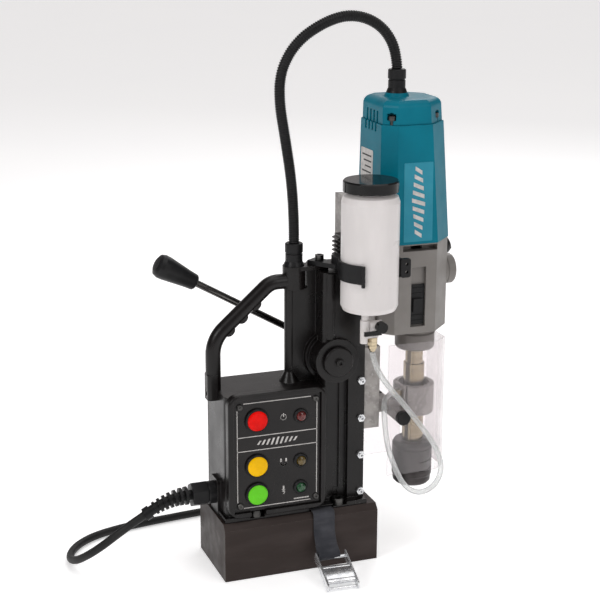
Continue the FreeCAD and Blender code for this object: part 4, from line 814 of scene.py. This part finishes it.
def panel_lines():
    """The panel's thin white border and dividers, and a plain pictogram beside each button."""
    low, high = (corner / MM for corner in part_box("control_panel"))
    face = low.y

    def surface(u, v, out):
        return (u, face - out, v)

    left, right, bottom, top, corner = low.x + 4.5, high.x - 4, low.z + 4.5, high.z - 4.5, 7.5
    divider_high, divider_low = 163.9, 147.8
    lines = []
    for points in (
        [(left + corner, top), (right - corner, top)], [(left + corner, bottom), (right - corner, bottom)],
        [(left, bottom + corner), (left, top - corner)], [(right, bottom + corner), (right, top - corner)],
        [(left, divider_high), (right, divider_high)], [(left, divider_low), (right, divider_low)],
    ):
        lines += stroke(points, 0.85)
    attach(decal("panel_lines", lines, surface, WHITE_INK), "stand")

    middle = (left + right) / 2
    marks = slanted_bars((middle, (divider_high + divider_low) / 2), 9, 5.2, 2.2, 8.5, 1.5)
    u = (MIDDLE["red_button"][0] + high.x) / 2 - 6
    red, yellow, green = (MIDDLE[name][2] for name in ("red_button", "yellow_button", "green_button"))
    marks += stroke(arc((u, red), 3.2, 120, 420), 0.8) + stroke([(u, red + 0.6), (u, red + 4)], 0.8)
    marks += stroke([(u - 3, yellow + 3.6), *arc((u, yellow - 0.4), 3, 180, 360), (u + 3, yellow + 3.6)], 1.7)
    marks += stroke([(u - 3.9, yellow + 2), (u - 2.1, yellow + 2)], 0.6)
    marks += stroke([(u, green + 4.4), (u, green + 1.4)], 1.8)
    marks += stroke([(u - 1.6, green + 1), (u + 1.6, green), (u - 1.6, green - 1), (u + 1.6, green - 2),
                     (u, green - 4)], 0.7)
    for step in range(6):
        marks += stroke([(right - 26 + 3 * step, bottom + 3.2), (right - 24.6 + 3 * step, bottom + 3.2)], 1.3)
    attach(decal("panel_marks", marks, surface, WHITE_INK), "stand")


panel_lines()


def lighter_teal():
    """The paler rectangle printed on the motor shell."""
    finish = Finish("lighter_teal", (0.02, 0.235, 0.33), 0.34)
    finish.mottled((0.03, 0.265, 0.36), 30)
    finish.rough_patches(0.28, 0.42, 60)
    finish.grain(900, 0.00002)
    return finish.ready()


MOTOR_FOOT, MOTOR_TOP, MOTOR_X = 363, 518, 136
MOTOR_HALF_Y, SIDE_TAPER = 45.5, 4
MOTOR_REAR, REAR_TAPER = 43, 2


def motor_share(height):
    return (height - MOTOR_FOOT) / (MOTOR_TOP - MOTOR_FOOT)


def near_side(u, v, out):
    """A place on the motor's near side, which leans in towards the top."""
    return (u, -(MOTOR_HALF_Y - SIDE_TAPER * motor_share(v)) - out, v)


def rear_side(u, v, out):
    """A place on the motor's side over the control box."""
    return (MOTOR_X - (MOTOR_REAR - REAR_TAPER * motor_share(v)) - out, u, v)


def rounded_box(left, bottom, right, top, radius):
    points = []
    for u, v, start in ((right - radius, top - radius, 0), (left + radius, top - radius, 90),
                        (left + radius, bottom + radius, 180), (right - radius, bottom + radius, 270)):
        points += arc((u, v), radius, start, start + 90, 5)
    return points


def motor_labels():
    """A paler rectangle with a generic mark on the near side, and a blank rating plate."""
    pale = decal("motor_label", [rounded_box(115.5, 366, 149.5, 452, 1)], near_side, lighter_teal(),
                 0.25)
    mark = slanted_bars((132.5, 409), 9, 8.6, 4.4, 15.5, 2.6, upright=True)
    mark_piece = decal("motor_mark", mark, lambda u, v, out: near_side(u, v, out + 0.25), WHITE_INK)
    plate = decal("rating_plate", [rounded_box(-8, 424, 25, 461, 2)], rear_side, WHITE_INK,
                  0.3)
    lines = []
    for number in range(5):
        height = 454 - 6 * number
        lines += stroke([(-3, height), (20 - 4 * (number % 3), height)], 1.6)
    text_lines = decal("rating_plate_lines", lines, lambda u, v, out: rear_side(u, v, out + 0.3),
                       MATERIALS["black_plastic"])
    for piece in (pale, mark_piece, plate, text_lines):
        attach(piece, "carriage")


motor_labels()

# ---------------------------------------------------------------- floor, light and world


SKY = ((0.0, 0.25), (0.35, 0.34), (1.0, 0.6))
SCREENS = ((0.0, 0.3), (0.1, 1.9), (0.2, 0.3), (0.33, 1.5), (0.45, 0.35), (0.62, 0.4), (0.72, 2.0),
           (0.83, 0.35), (1.0, 0.3))


def levels_ramp(tree, factor, levels, tint=(1, 1, 1)):
    """A ramp through (position, level) stops."""
    ramp = tree.nodes.new("ShaderNodeValToRGB")
    tree.links.new(factor, ramp.inputs[0])
    for _ in levels[2:]:
        ramp.color_ramp.elements.new(0.5)
    for element, (position, level) in zip(ramp.color_ramp.elements, levels):
        element.position = position
        element.color = (*(level * channel for channel in tint), 1)
    return ramp.outputs[0]


def sky():
    """A studio surround that is brighter overhead, with tall pale screens standing round it."""
    world = bpy.data.worlds.new("studio_world")
    world.use_nodes = True
    tree = world.node_tree
    place = tree.nodes.new("ShaderNodeTexCoord").outputs["Generated"]
    split = tree.nodes.new("ShaderNodeSeparateXYZ")
    around = tree.nodes.new("ShaderNodeTexGradient")
    around.gradient_type = "RADIAL"
    tree.links.new(place, split.inputs[0])
    tree.links.new(place, around.inputs[0])
    height = levels_ramp(tree, split.outputs["Z"], SKY, (1, 0.955, 0.95))
    screens = levels_ramp(tree, around.outputs["Fac"], SCREENS)
    both = tree.nodes.new("ShaderNodeVectorMath")
    both.operation = "MULTIPLY"
    tree.links.new(height, both.inputs[0])
    tree.links.new(screens, both.inputs[1])
    tree.links.new(both.outputs[0], tree.nodes["Background"].inputs["Color"])
    bpy.context.scene.world = world


def softbox(name, place, size, power, aim=(0.02, 0.0, 0.28)):
    data = bpy.data.lights.new(name, "AREA")
    data.shape = "SQUARE"
    data.size = size
    data.energy = power
    light = bpy.data.objects.new(name, data)
    bpy.context.scene.collection.objects.link(light)
    light.location = place
    light.rotation_mode = "QUATERNION"
    light.rotation_quaternion = (Vector(aim) - Vector(place)).to_track_quat("-Z", "Y")


def studio():
    floor = mesh_object("studio_floor", [(-40, -40, -0.0005), (40, -40, -0.0005), (40, 40, -0.0005),
                                         (-40, 40, -0.0005)], [(0, 1, 2, 3)], floor_paper(), smooth=False)
    sky()
    bpy.context.scene.view_settings.view_transform = "Standard"
    softbox("top_softbox", (0.2, -0.2, 2.6), 2.2, 20)
    softbox("key_softbox", (-2.0, -0.9, 1.5), 0.7, 13)
    softbox("front_softbox", (0.9, -2.2, 1.5), 1.0, 8)
    softbox("back_softbox", (1.4, 1.7, 1.7), 1.2, 12)


studio()
